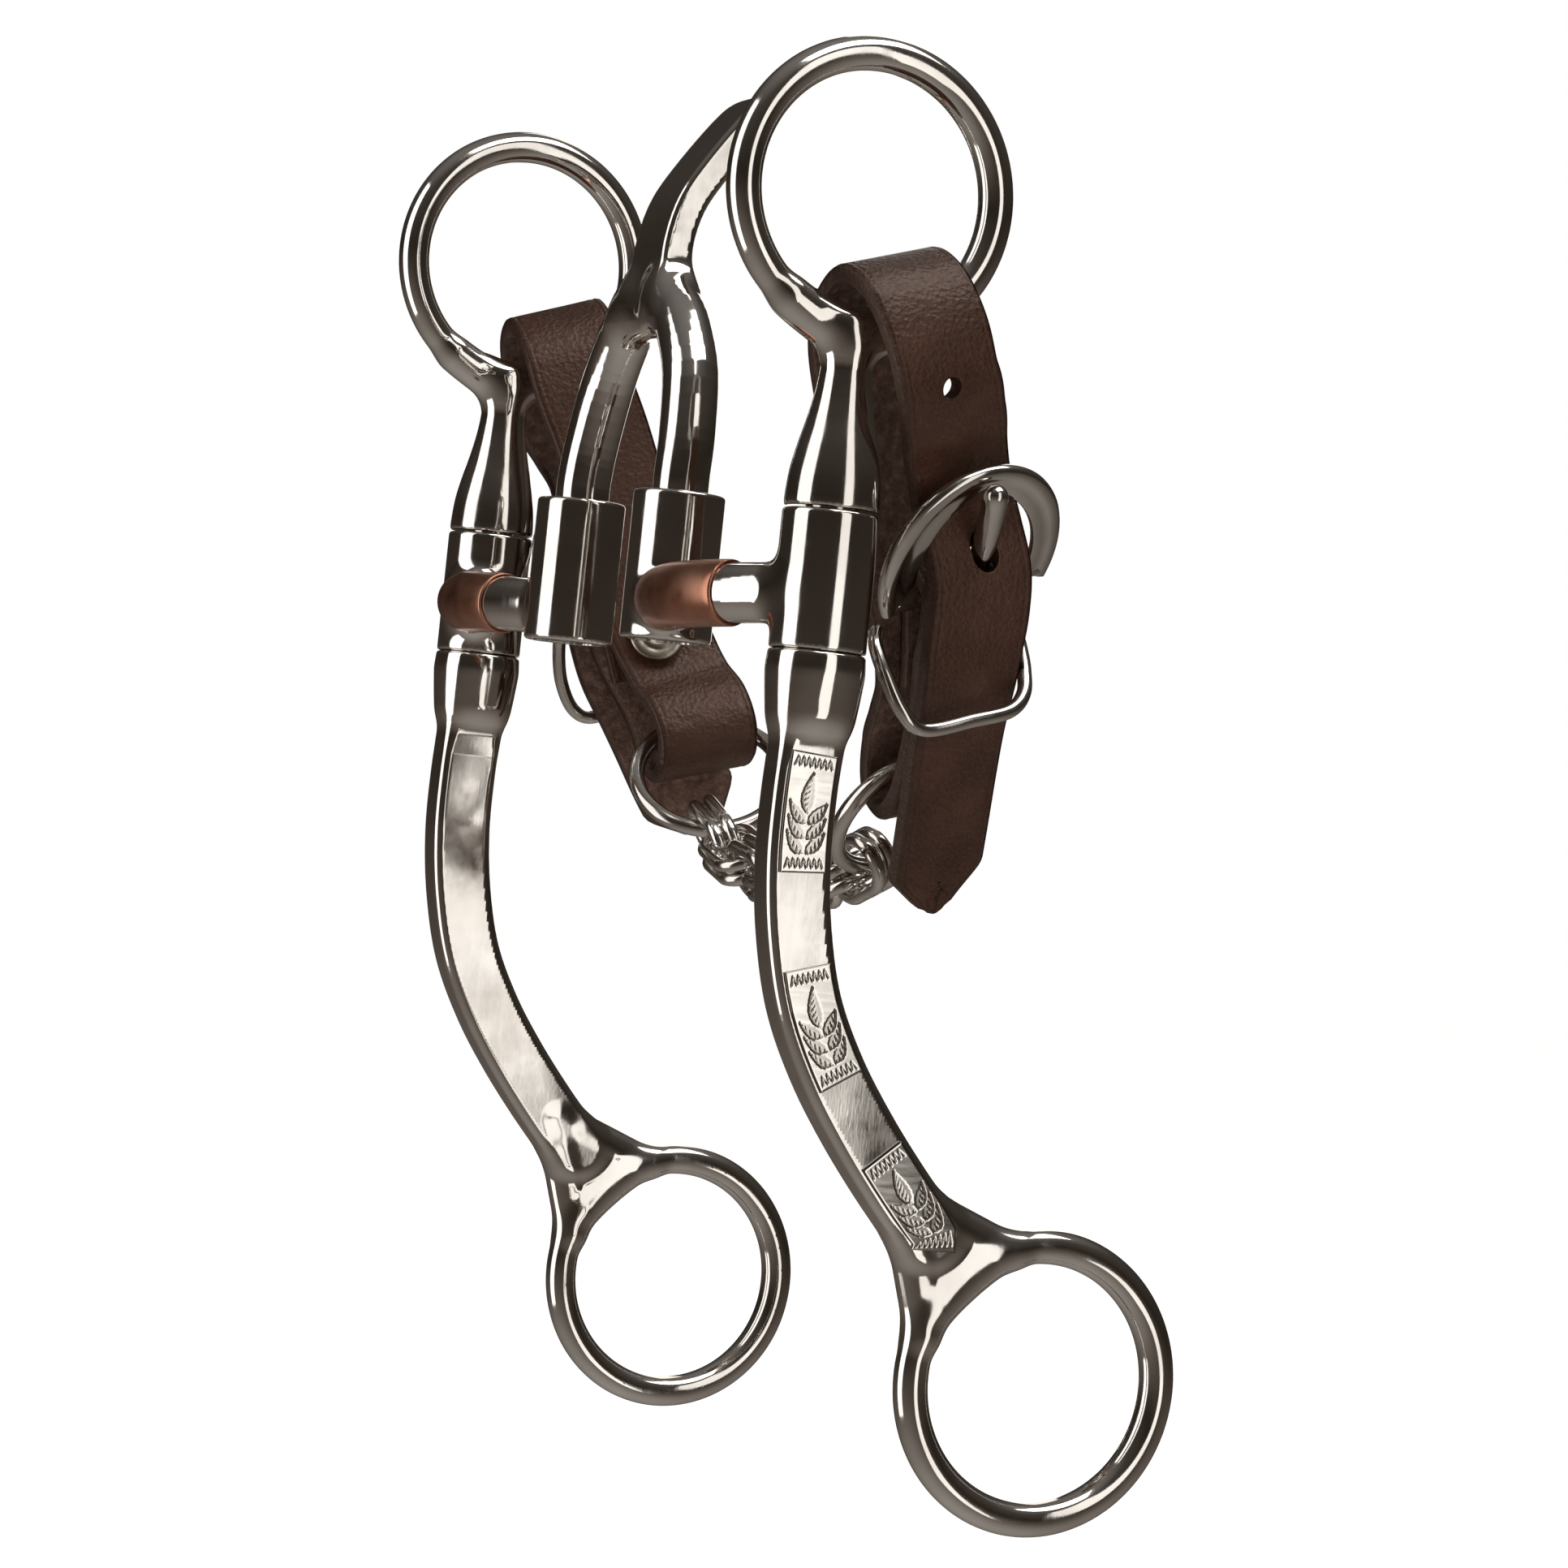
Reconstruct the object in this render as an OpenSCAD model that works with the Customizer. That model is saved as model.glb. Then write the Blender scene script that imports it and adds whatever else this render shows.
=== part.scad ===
// Loose-cheek curb bit with a hinged wishbone port and a leather and chain curb strap.
// Z runs up along the cheek barrels, +Y is the rear, where the curb chain hangs, and +X is
// the horse's left. The origin is the middle of the mouthpiece, on the cheek barrels' level.

/* [Mouthpiece] */
// Distance between the axes of the two cheek barrels
cheek_span = 140.8; // [138:0.2:143]
// Outer diameter of the cheek barrels
barrel_d = 14; // [13:0.5:15]
// Height of the cheek barrels
barrel_h = 20; // [18:0.5:21]
// Diameter of the mouth bars
bar_d = 9.8; // [9:0.1:10.5]
// How far the mouth bars bow forward
bar_bow = 9; // [6:0.5:10]
// Distance between the two legs of the port
leg_span = 41; // [38:0.5:44]
// Diameter of the port's legs
leg_d = 8.6; // [8:0.1:9]
// Outer diameter of the inner hinge barrels
hinge_barrel_d = 14; // [13:0.5:14.5]
// Height of the top of the port above the origin
port_h = 80; // [70:1:84]
// Width of the port's flat stem
stem_w = 13; // [11:0.5:14]

/* [Shanks] */
// Diameter of the pivot pins inside the cheek barrels
pin_d = 7.4; // [6:0.1:8]
// Middle radius of the cheek rings
cheek_ring_r = 19.7; // [19.2:0.1:20.2]
// Height of the cheek rings' centres
cheek_ring_z = 56; // [55.5:0.1:57]
// Middle radius of the rein rings
rein_ring_r = 19.9; // [18.5:0.1:21]
// Diameter of the rings' stock
ring_stock_d = 5.1; // [4.6:0.1:5.3]
// Width of the flat part of the shanks
shank_w = 10; // [9:0.5:11]
// Thickness of the flat part of the shanks
shank_t = 6.6; // [6:0.1:7.2]
// Thickness of the engraved overlay plates
plate_t = 0.6; // [0.4:0.1:0.8]

/* [Curb strap] */
// Width of the leather
strap_w = 16.6; // [15:0.2:16.6]
// Thickness of the leather
strap_t = 2.6; // [2.4:0.1:2.6]
// Half width of the buckle's arch, outside
buckle_a = 15.3; // [15:0.1:15.8]
// Height of the buckle's arch above its bar
buckle_b = 21.6; // [20:0.1:22]
// Diameter of the keeper's wire
keeper_d = 2.2; // [1.8:0.1:2.4]

/* [Curb chain] */
// Middle radius of the chain's end rings
end_ring_r = 12.2; // [12.1:0.05:12.3]
// Diameter of the end rings' wire
end_ring_d = 2.7; // [2.4:0.1:2.8]
// Diameter of the links' wire
link_d = 2.2; // [1.8:0.1:2.3]
// Clear width inside a link
link_gap = 5.8; // [5.6:0.1:6]
// Distance from link to link along the chain
link_pitch = 10.6; // [10.5:0.05:10.8]

/* [Hidden] */

steel = "#6f6a66";
silver = "#d9d3c8";
copper = "#b87a5e";
leather = "#4a332a";

run_gap = 0.06;          // radial clearance of the running fits
face_gap = 0.3;          // gap between faces that turn past each other
cheek_x = cheek_span / 2;
leg_x = leg_span / 2;
leg_y = -3.3;
barrel_top = barrel_h / 2;
hinge_top = 13.9;
hinge_bottom = -8.7;
ring_tube_r = ring_stock_d / 2;
ring_y = 1;
rein_ring_y = 46.3;
rein_ring_z = -111.7;

// ---- Vectors, splines and sweeps ----

function unit(v) = v / norm(v);

// One point of a Catmull-Rom curve between p1 and p2
function curve_point(p0, p1, p2, p3, t) =
    0.5 * (2 * p1 + (p2 - p0) * t + (2 * p0 - 5 * p1 + 4 * p2 - p3) * t * t
           + (3 * p1 - p0 - 3 * p2 + p3) * t * t * t);

// A smooth curve through the given points, with n steps from one point to the next
function curve(p, n) = let (last = len(p) - 1) concat(
    [for (i = [0 : last - 1], k = [0 : n - 1])
        curve_point(p[max(i - 1, 0)], p[i], p[i + 1], p[min(i + 2, last)], k / n)],
    [p[last]]);

function direction(p, i) = unit(p[min(i + 1, len(p) - 1)] - p[max(i - 1, 0)]);
function loop_direction(p, i) = unit(p[(i + 1) % len(p)] - p[(i + len(p) - 1) % len(p)]);

// The part of ref that is square to the direction t
function across(ref, t) = unit(ref - (ref * t) * t);

// One ring of a sweep: section points u along the width w, v along the normal
function ring_points(centre, t, ref, section) = let (w = across(ref, t), n = cross(t, w))
    [for (s = section) centre + s[0] * w + s[1] * n];

function round_section(d, sides) =
    [for (i = [0 : sides - 1]) d / 2 * [cos(360 * i / sides), sin(360 * i / sides)]];

// A rounded bar section, w wide and t thick, with corners of radius r
function bar_section(w, t, r, steps = 3) = [for (q = [0 : 3], i = [0 : steps])
    let (a = 90 * q + 90 * i / steps, sx = (q == 0 || q == 3) ? 1 : -1, sy = (q < 2) ? 1 : -1)
    [sx * (w / 2 - r) + r * cos(a), sy * (t / 2 - r) + r * sin(a)]];

// Solid between rings of equal point count
module skin(rings) {
    m = len(rings[0]);
    n = len(rings);
    polyhedron(
        points = [for (r = rings, p = r) p],
        faces = concat(
            [[for (j = [0 : m - 1]) j]],
            [[for (j = [m - 1 : -1 : 0]) (n - 1) * m + j]],
            [for (i = [0 : n - 2], j = [0 : m - 1]) let (k = (j + 1) % m)
                [i * m + j, (i + 1) * m + j, (i + 1) * m + k, i * m + k]]),
        convexity = 8);
}

// Sweep of one section along a path; ref sets the direction of the section's width
module sweep(path, ref, section) {
    skin([for (i = [0 : len(path) - 1]) ring_points(path[i], direction(path, i), ref, section)]);
}

// Sweep along a closed path
module sweep_loop(path, ref, section) {
    m = len(section);
    n = len(path);
    polyhedron(
        points = [for (i = [0 : n - 1], p = ring_points(path[i], loop_direction(path, i), ref, section)) p],
        faces = [for (i = [0 : n - 1], j = [0 : m - 1]) let (k = (j + 1) % m, h = (i + 1) % n)
            [i * m + j, h * m + j, h * m + k, i * m + k]],
        convexity = 8);
}

// Children as drawn for the left side, or mirrored to the right
module on_side(side) {
    if (side > 0) children();
    else mirror([1, 0, 0]) children();
}

// ---- Port ----

leg_route = [[leg_x, leg_y, hinge_bottom + 2.4], [leg_x, leg_y, hinge_top],
    [leg_x, leg_y, 17], [leg_x - 0.6, -2.9, 23], [leg_x - 3.4, -2.3, 32.5], [8.4 + leg_x - 20.5 + 3.8, -2.2, 40],
    [6.6, -2.2, 45.5], [3, -2.1, 52]];
stem_route = [[0, -2.2, 43], [0, -2.2, 48], [0, -1.9, 54], [0, -0.3, 60], [0, 3.2, port_h - 14],
    [0, 8.2, port_h - 7], [0, 12.2, port_h - 2.5]];

module port_leg() {
    translate([leg_x, leg_y, hinge_bottom + 2]) cylinder(d = leg_d, h = 26.2, $fn = 48);
    sweep(curve([for (i = [2 : len(leg_route) - 1]) leg_route[i]], 6), [0, 1, 0], round_section(leg_d - 0.3, 24));
}

module port_stem() {
    path = curve(stem_route, 6);
    last = len(path) - 1;
    skin([for (i = [0 : last])
        let (narrow = i > last - 4 ? sqrt(1 - pow((i - last + 4) / 4.6, 2)) : 1)
        ring_points(path[i], direction(path, i), [1, 0, 0], bar_section(stem_w * narrow, 5.4 * narrow + 0.2, 2.2 * narrow))]);
}

module port() {
    color(steel) {
        port_leg();
        mirror([1, 0, 0]) port_leg();
        port_stem();
    }
}

// A washer held by the peened end of each leg, let into the hinge barrel's lower end
module leg_retainers() {
    color(steel) for (side = [1, -1])
        translate([side * leg_x, leg_y, hinge_bottom + 0.2]) cylinder(d = 10.6, h = 1.8, $fn = 48);
}

// ---- Mouth bars ----

bar_route = [for (i = [0 : 14]) let (s = i / 14)
    [leg_x + (cheek_x - leg_x) * s, leg_y * (1 - s) - bar_bow * sin(180 * s), -3.1 + 1.5 * s * s]];
copper_start = 4;
copper_end = 10;

module mouth_bar(side) {
    color(steel) on_side(side) difference() {
        union() {
            sweep([for (i = [1 : 13]) bar_route[i]], [0, 0, 1], round_section(bar_d - 1, 24));
            translate([leg_x, leg_y, hinge_bottom])
                cylinder(d = hinge_barrel_d, h = hinge_top - hinge_bottom, $fn = 64);
            translate([cheek_x, 0, -barrel_top]) cylinder(d = barrel_d, h = barrel_h, $fn = 64);
        }
        translate([leg_x, leg_y, hinge_bottom - 1]) cylinder(d = leg_d + 2 * run_gap, h = 30, $fn = 48);
        translate([leg_x, leg_y, hinge_bottom - 1]) cylinder(d = 11, h = 3.3, $fn = 48);
        translate([cheek_x, 0, -barrel_top - 1]) cylinder(d = pin_d + 2 * run_gap, h = barrel_h + 2, $fn = 48);
    }
}

// Copper tube let over the bowed middle of the bar
module copper_sleeve(side) {
    path = [for (i = [copper_start : copper_end]) bar_route[i]];
    color(copper) on_side(side) difference() {
        sweep(path, [0, 0, 1], round_section(bar_d, 24));
        sweep([for (i = [copper_start - 1 : copper_end + 1]) bar_route[i]], [0, 0, 1],
              round_section(bar_d - 0.98, 24));
    }
}

// ---- Shanks ----

cheek_bottom = barrel_top + face_gap;
neck_profile = [[6.9, cheek_bottom], [6.9, 12], [6.6, 15.5], [5.9, 19], [4.9, 23], [4.1, 27],
    [3.7, 31], [4.1, 34], [4.8, 37]];

// The round neck that widens to a collar over the barrel
module neck() {
    outline = curve(neck_profile, 3);
    translate([cheek_x, 0, 0]) rotate_extrude($fn = 64)
        polygon(concat([[0, cheek_bottom]], outline, [[0, neck_profile[len(neck_profile) - 1][1]]]));
}

module ring(y, z, r) {
    translate([cheek_x, y, z]) rotate([0, 90, 0])
        rotate_extrude($fn = 96) translate([r, 0]) circle(r = ring_tube_r, $fn = 32);
}

// One of the two arms that lead from the neck into the ring
module cheek_arm(a) {
    hull() {
        translate([cheek_x, 0, 35]) sphere(r = 3.4, $fn = 32);
        translate([cheek_x, ring_y + cheek_ring_r * sin(a), cheek_ring_z - cheek_ring_r * cos(a)])
            sphere(r = ring_tube_r, $fn = 32);
    }
}

module cheek(side) {
    color(steel) on_side(side) difference() {
        union() {
            neck();
            ring(ring_y, cheek_ring_z, cheek_ring_r);
            cheek_arm(-32);
            cheek_arm(24);
        }
        translate([cheek_x, 0, cheek_bottom - 1]) cylinder(d = pin_d + 2 * run_gap, h = 9, $fn = 48);
    }
}

shank_top = -barrel_top - face_gap;
shank_route = [[0, shank_top - 11], [-0.5, -30], [-0.4, -40], [0.9, -50], [3.6, -60], [8.2, -69],
    [13.8, -77], [20, -84.5], [26, -91]];

function shank_path() = [for (p = curve(shank_route, 4)) [cheek_x, p[0], p[1]]];

// The web that spreads from the bar's end to the rein ring
module shank_fork() {
    function rim(a) = [cheek_x, rein_ring_y - rein_ring_r * sin(a), rein_ring_z + rein_ring_r * cos(a)];
    hull() {
        translate([cheek_x, 22, -86.4]) sphere(r = 3.2, $fn = 32);
        translate(rim(60)) sphere(r = ring_tube_r, $fn = 32);
        translate(rim(28)) sphere(r = ring_tube_r, $fn = 32);
    }
    hull() {
        translate([cheek_x, 27.4, -87.6]) sphere(r = 2.3, $fn = 32);
        translate(rim(18)) sphere(r = ring_tube_r, $fn = 32);
    }
    hull() {
        translate([cheek_x, 23, -92]) sphere(r = 2.3, $fn = 32);
        translate(rim(72)) sphere(r = ring_tube_r, $fn = 32);
    }
}

module shank(side) {
    color(steel) on_side(side) difference() {
        union() {
            translate([cheek_x, 0, shank_top - 12]) cylinder(d1 = 10.6, d2 = 13.8, h = 12, $fn = 64);
            skin([for (i = [0 : 5]) let (s = i / 5, z = shank_top - 2 - 11.6 * s)
                ring_points([cheek_x, -0.5 * s * s, z], [0, 0, -1], [0, 1, 0],
                    bar_section(13 + (shank_w - 13) * s, 13 + (shank_t - 13) * s, 6.4 + (2 - 6.4) * s, 5))]);
            sweep(shank_path(), [0, 1, 0], bar_section(shank_w, shank_t, 2, 5));
            ring(rein_ring_y, rein_ring_z, rein_ring_r);
            shank_fork();
        }
        translate([cheek_x, 0, shank_top - 8]) cylinder(d = pin_d + 2 * run_gap, h = 9, $fn = 48);
    }
}

module pivot_pin(side) {
    color(steel) on_side(side) translate([cheek_x, 0, shank_top - 7.8])
        cylinder(d = pin_d, h = cheek_bottom - shank_top + 15.6, $fn = 48);
}

// Overlay plate lying on the bar's flat outer face, from one height to another
plate_w = 7.2;

function shank_y(z) = lookup(z, [for (p = curve(shank_route, 4)) [p[1], p[0]]]);

module plate(side, z_top, z_bottom) {
    steps = 6;
    mid = [for (i = [0 : steps]) let (z = z_top + (z_bottom - z_top) * i / steps) [shank_y(z), z]];
    normal = [for (i = [0 : steps]) let (d = direction(mid, i)) [-d[1], d[0]]];
    color(silver) on_side(side) translate([cheek_x + shank_t / 2, 0, 0]) rotate([90, 0, 90])
        linear_extrude(plate_t) polygon(concat(
            [for (i = [0 : steps]) mid[i] + plate_w / 2 * normal[i]],
            [for (i = [steps : -1 : 0]) mid[i] - plate_w / 2 * normal[i]]));
}

// ---- Curb straps ----

// Each point gives x, y and z of the leather's middle, then the yaw and tilt of its width.
// The strap starts at its tail behind the buckle's bar, runs over the bar, down round the end
// ring, up inside the cheek, over the cheek ring, down through the buckle and hangs free.
left_strap_route = [
    [57.2, 27.4, -12.4, 8, 16], [57.4, 27, -7, 8, 16], [57.8, 26.4, -2, 6, 18], [58.3, 25.8, 2, 5, 20],
    [59.7, 25.1, 4.9, 5, 20], [62, 24.8, 6, 5, 20], [64.4, 25.1, 4.8, 5, 20], [65.3, 25.9, 2, 5, 20],
    [64.4, 26.4, -2.2, 6, 18], [62, 27, -7.4, 8, 16], [61, 27.6, -12.4, 8, 16], [58.6, 28.2, -17.4, 8, 16],
    [55.8, 28.9, -22, 8, 16], [52.6, 29.6, -26.4, 8, 16], [48, 30, -28.9, 8, 16], [43.8, 29.6, -27, 8, 16],
    [42.8, 28.8, -22.6, 8, 16], [45.4, 27.6, -18, 8, 16], [49.8, 26.2, -14.4, 8, 16],
    [53, 25.2, -10, 8, 16], [54.4, 22.8, -3, 8, 16], [56.2, 17.8, 8, 7, 15], [58.2, 12.6, 19, 6, 15],
    [60.2, 7.6, 30, 6, 16], [61.4, 5.4, 37, 6, 17], [64.2, 4.6, 42.8, 6, 18], [70.4, 4.8, 46.2, 6, 18],
    [76.2, 6.6, 43.4, 6, 18], [79, 9.4, 37, 6, 18], [78.8, 12.2, 30, 8, 18], [74.8, 15.6, 25, 8, 18],
    [70.4, 18.7, 20.6, 8, 18], [68.2, 21.1, 15.4, 6, 18], [68.3, 23, 10.4, 5, 18], [69, 24.8, 4.6, 5, 18],
    [68.8, 25.4, -0.6, 5, 17], [67.8, 25.6, -6, 5, 16], [65.8, 26.2, -12, 8, 16], [62, 27.2, -18.8, 10, 17],
    [58.2, 28.6, -25.2, 12, 17], [53.4, 30.4, -33.4, 12, 18], [50.6, 31.4, -38.2, 12, 18],
    [46.8, 32.8, -44.8, 12, 18]];
right_strap_route = [
    [56.6, 27.6, -10, 12, 20], [57, 25.8, -5, 12, 20], [57.5, 24.2, 0, 7, 20], [58, 22.9, 4, 6, 20],
    [59.2, 21.8, 7.2, 6, 20], [61.8, 21.3, 8.2, 6, 20], [64.2, 21.7, 6.9, 6, 20], [65.1, 22.6, 3.8, 6, 20],
    [64.4, 23.6, -0.4, 6, 20], [61.8, 25.4, -5.4, 8, 19], [60.4, 28, -10, 8, 18],
    [58.2, 30, -14, 8, 17], [55.4, 31.3, -18.3, 8, 17], [52.2, 32, -22.7, 8, 17],
    [47.6, 32.4, -25.2, 8, 17], [43.4, 32, -23.3, 8, 17], [42.4, 31.2, -18.9, 8, 17],
    [45, 30, -14.3, 8, 17], [49.4, 28.4, -10.7, 8, 17], [52.4, 26.6, -6.3, 8, 18],
    [53.8, 23.4, 0, 10, 18], [55.8, 20.4, 9, 8, 18], [57.6, 17.2, 18.6, 6, 18], [59.4, 13.8, 28, 6, 18],
    [61, 10.2, 36.2, 8, 19], [64, 8.2, 43.6, 8, 20], [70.6, 7.4, 48.3, 8, 20], [76.9, 8.8, 45.1, 8, 20],
    [79.2, 11.6, 37.6, 8, 20], [78.8, 14.2, 31.4, 8, 20], [74.8, 16, 27, 8, 20], [70.4, 17.6, 22.6, 8, 20],
    [67.5, 18.4, 17.4, 6, 20], [67.7, 19.8, 12.4, 6, 20], [68.9, 21, 6.6, 6, 20], [68.6, 21.8, 1.4, 6, 20],
    [67.4, 23.2, -4, 8, 22], [66.2, 25.3, -9.8, 9, 20], [63.4, 28, -15.6, 9, 18],
    [60, 30.4, -21.4, 9, 18], [56.2, 33.4, -28.4, 10, 22], [51.8, 37.4, -36, 12, 26]];

strap_steps = 3;

function width_ref(yaw, tilt) = [-sin(yaw), cos(yaw) * cos(tilt), sin(tilt)];

module leather_band(route) {
    path = curve(route, strap_steps);
    centres = [for (p = path) [p[0], p[1], p[2]]];
    last = len(path) - 1;
    skin([for (i = [0 : last])
        let (to_tip = norm(centres[last] - centres[i]), w = min(strap_w, 4 + 1.9 * to_tip))
        ring_points(centres[i], direction(centres, i), width_ref(path[i][3], path[i][4]),
            bar_section(w, strap_t, 0.6, 1))]);
}

module curb_strap(side) {
    i = side > 0 ? 0 : 1;
    color(leather) on_side(side) difference() {
        leather_band(side > 0 ? left_strap_route : right_strap_route);
        buckle_frame(i) rotate([90, 0, 0]) cylinder(d = 7, h = 3.8, center = true, $fn = 32);
        buckle_frame(i) tongue_sweep(tongue_slot_d, 2);
        buckle_frame(i, -tongue_travel) tongue_sweep(tongue_slot_d, 2);
        rivet_frame(i) translate([0, 0, -1]) cylinder(d = rivet_d + 0.2, h = 17, center = true, $fn = 24);
        translate(hole_centre[i]) rotate([0, 96, 10]) cylinder(d = 3.2, h = 12, center = true, $fn = 24);
    }
}

// ---- Buckles (left, then right, in left-hand coordinates) ----

bar_centre = [[62, 25.9, 2.6], [61.75, 23.1, 4.8]];
hole_centre = [[79, 12.4, 29], [79, 13.8, 32]];
buckle_yaw = 5;
buckle_tilt = 20;
buckle_lean = 37;
buckle_band = 3.8;
buckle_rise = 5;         // height of the arch's widest place above the bar
buckle_bar_d = 2.7;
tongue_d = 2.7;
tongue_slot_d = tongue_d + 0.9;
tongue_travel = 5;

// The buckle's own frame: x out of the strap, y along its bar, z towards the arch
module buckle_frame(i, back = 0) {
    translate(bar_centre[i]) rotate([0, 0, buckle_yaw]) rotate([buckle_tilt, 0, 0])
        rotate([0, buckle_lean - back, 0]) children();
}

module buckle(side) {
    outer_b = buckle_b - buckle_rise;
    inner_a = buckle_a - buckle_band;
    inner_b = outer_b - buckle_band;
    low = asin((buckle_rise + 1.6) / outer_b);
    low_in = asin((buckle_rise + 1.6) / inner_b);
    color(steel) on_side(side) buckle_frame(side > 0 ? 0 : 1) {
        rotate([90, 0, 0]) cylinder(d = buckle_bar_d, h = 2 * buckle_a - 5.6, center = true, $fn = 32);
        rotate([90, 0, 90]) translate([0, 0, -1.1]) linear_extrude(2.2) difference() {
            polygon([for (i = [0 : 40]) let (a = -low + (180 + 2 * low) * i / 40)
                [buckle_a * cos(a), buckle_rise + outer_b * sin(a)]]);
            polygon(concat([for (i = [0 : 40]) let (a = -low_in + (180 + 2 * low_in) * i / 40)
                [inner_a * cos(a), buckle_rise + inner_b * sin(a)]],
                [[-inner_a * cos(low_in), -9], [inner_a * cos(low_in), -9]]));
        }
    }
}

tongue_route = [[1.6, 0, 1.8], [2.3, 0, 6], [2.7, 0, 12], [2.8, 0, 17], [2.75, 0, 21.4]];

module tongue_sweep(d, more) {
    last = tongue_route[len(tongue_route) - 1];
    sweep(curve(concat(tongue_route, more > 0 ? [last + [0, 0, more]] : []), 4), [0, 1, 0], round_section(d, 12));
}

module buckle_tongue(side) {
    color(steel) on_side(side) buckle_frame(side > 0 ? 0 : 1) difference() {
        union() {
            rotate([90, 0, 0]) cylinder(d = 6.2, h = 2.8, center = true, $fn = 32);
            tongue_sweep(tongue_d, 0);
        }
        rotate([90, 0, 0]) cylinder(d = buckle_bar_d + 2 * run_gap, h = 6, center = true, $fn = 32);
    }
}

// Bent wire loop below the bar that keeps the free end down
keeper_route = [
    [[63.8, 12, -5], [66, 11, -7.8], [68.2, 12, -12], [69.6, 14.6, -17], [69.2, 18.6, -19.2],
     [68.8, 26.2, -17], [68.2, 32.2, -15], [66.6, 35, -12.2], [64.4, 35.8, -8.8], [62, 36.2, -6],
     [59.6, 36.4, -3.4]],
    [[63.8, 12, -3], [66, 12.6, -7.4], [68, 14.4, -13], [69, 17.4, -17.4], [68.6, 21, -18.4],
     [67.4, 27, -15.2], [67.4, 33.4, -10.6], [66.4, 36, -6.6], [63.6, 35.8, -1.6], [60.6, 34.8, 3]]];

module keeper(side) {
    color(steel) on_side(side)
        sweep(curve(keeper_route[side > 0 ? 0 : 1], 4), [1, 0, 0.3], round_section(keeper_d, 12));
}

// Tubular rivet and its washer through the strap's three layers
rivet_d = 4.4;
rivet_centre = [[57.6, 26, -7.4], [57.2, 25.9, -5.6]];
rivet_turn = [[14, 17], [17, 14]];

module rivet_frame(i) {
    translate(rivet_centre[i]) rotate([0, 0, rivet_turn[i][0]]) rotate([0, 90 + rivet_turn[i][1], 0]) children();
}

module strap_rivet(side) {
    color(silver) on_side(side) rivet_frame(side > 0 ? 0 : 1) difference() {
        union() {
            translate([0, 0, -7.4]) cylinder(d = rivet_d, h = 13.2, $fn = 32);
            translate([0, 0, -8]) cylinder(d = 9.5, h = 1.1, $fn = 48);
        }
        cylinder(d = 3, h = 16, center = true, $fn = 32);
    }
}

// ---- Curb chain ----

end_ring_top = [[49.2, 33.6, -21.3], [48.8, 36, -17.6]];
end_ring_dir = unit([-0.6, -0.31, -0.74]);
end_ring_yaw = 7.5;
end_ring_tilt = 18;

module end_ring(side) {
    i = side > 0 ? 0 : 1;
    e = end_ring_dir;
    w = across(width_ref(end_ring_yaw, end_ring_tilt), e);
    centre = end_ring_top[i] + end_ring_r * e;
    path = [for (k = [0 : 35]) centre + end_ring_r * (cos(10 * k) * e + sin(10 * k) * w)];
    color(steel) on_side(side) sweep_loop(path, cross(e, w), round_section(end_ring_d, 12));
}

// The chain hangs as an arc between the end rings' lowest points
chain_left = [34.8, 27.8, -38.4];
chain_right = [-34.6, 30.2, -34.8];
link_count = 7;
chain_sag = 6;
link_straight = 6.8;
link_r = (link_gap + link_d) / 2;

function chain_point(x) = let (t = (x - chain_right[0]) / (chain_left[0] - chain_right[0]))
    (1 - t) * chain_right + t * chain_left - [0, 0, 4 * chain_sag * t * (1 - t)];
function chain_slope(x) = atan2(chain_point(x + 1)[2] - chain_point(x - 1)[2], 2);

// Link centres lie on the arc, one pitch apart along its length
function step_out(x, s, n) = n == 0 ? x
    : step_out(x + s * link_pitch * cos(chain_slope(x + s * link_pitch / 2)), s, n - 1);
function link_x(i) = let (n = i - (link_count + 1) / 2) step_out(0, sign(n), abs(n));

// One wire loop with straight sides, in its own plane
function link_loop() = concat(
    [for (i = [-6 : 6]) [link_straight / 2 + link_r * cos(15 * i), link_r * sin(15 * i), 0]],
    [for (i = [-6 : 6]) [-link_straight / 2 - link_r * cos(15 * i), -link_r * sin(15 * i), 0]]);

module link_pair() {
    for (s = [1, -1]) translate([0, 0, s * (link_d / 2 + 0.15)])
        sweep_loop(link_loop(), [0, 0, 1], round_section(link_d, 8));
}

module chain_link(i) {
    x = link_x(i);
    color(steel) translate(chain_point(x)) rotate([0, 0, -2]) rotate([0, -chain_slope(x), 0])
        rotate([i % 2 == 0 ? 30 : -60, 0, 0]) link_pair();
}

port();
leg_retainers();
mouth_bar(1);  // left_mouth_bar
copper_sleeve(1);  // left_copper_sleeve
mouth_bar(-1);  // right_mouth_bar
copper_sleeve(-1);  // right_copper_sleeve
cheek(1);  // left_cheek
shank(1);  // left_shank
pivot_pin(1);  // left_pivot_pin
plate(1, -24.5, -41.5);  // left_plate_upper
plate(1, -54.8, -70.4);  // left_plate_middle
plate(1, -80.4, -93.4);  // left_plate_lower
cheek(-1);  // right_cheek
shank(-1);  // right_shank
pivot_pin(-1);  // right_pivot_pin
plate(-1, -24.5, -41.5);  // right_plate_upper
plate(-1, -54.8, -70.4);  // right_plate_middle
plate(-1, -80.4, -93.4);  // right_plate_lower
curb_strap(1);  // left_curb_strap
buckle(1);  // left_buckle
buckle_tongue(1);  // left_buckle_tongue
keeper(1);  // left_keeper
strap_rivet(1);  // left_strap_rivet
end_ring(1);  // left_end_ring
curb_strap(-1);  // right_curb_strap
buckle(-1);  // right_buckle
buckle_tongue(-1);  // right_buckle_tongue
keeper(-1);  // right_keeper
strap_rivet(-1);  // right_strap_rivet
end_ring(-1);  // right_end_ring
chain_link(1);  // chain_link_1
chain_link(2);  // chain_link_2
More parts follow.
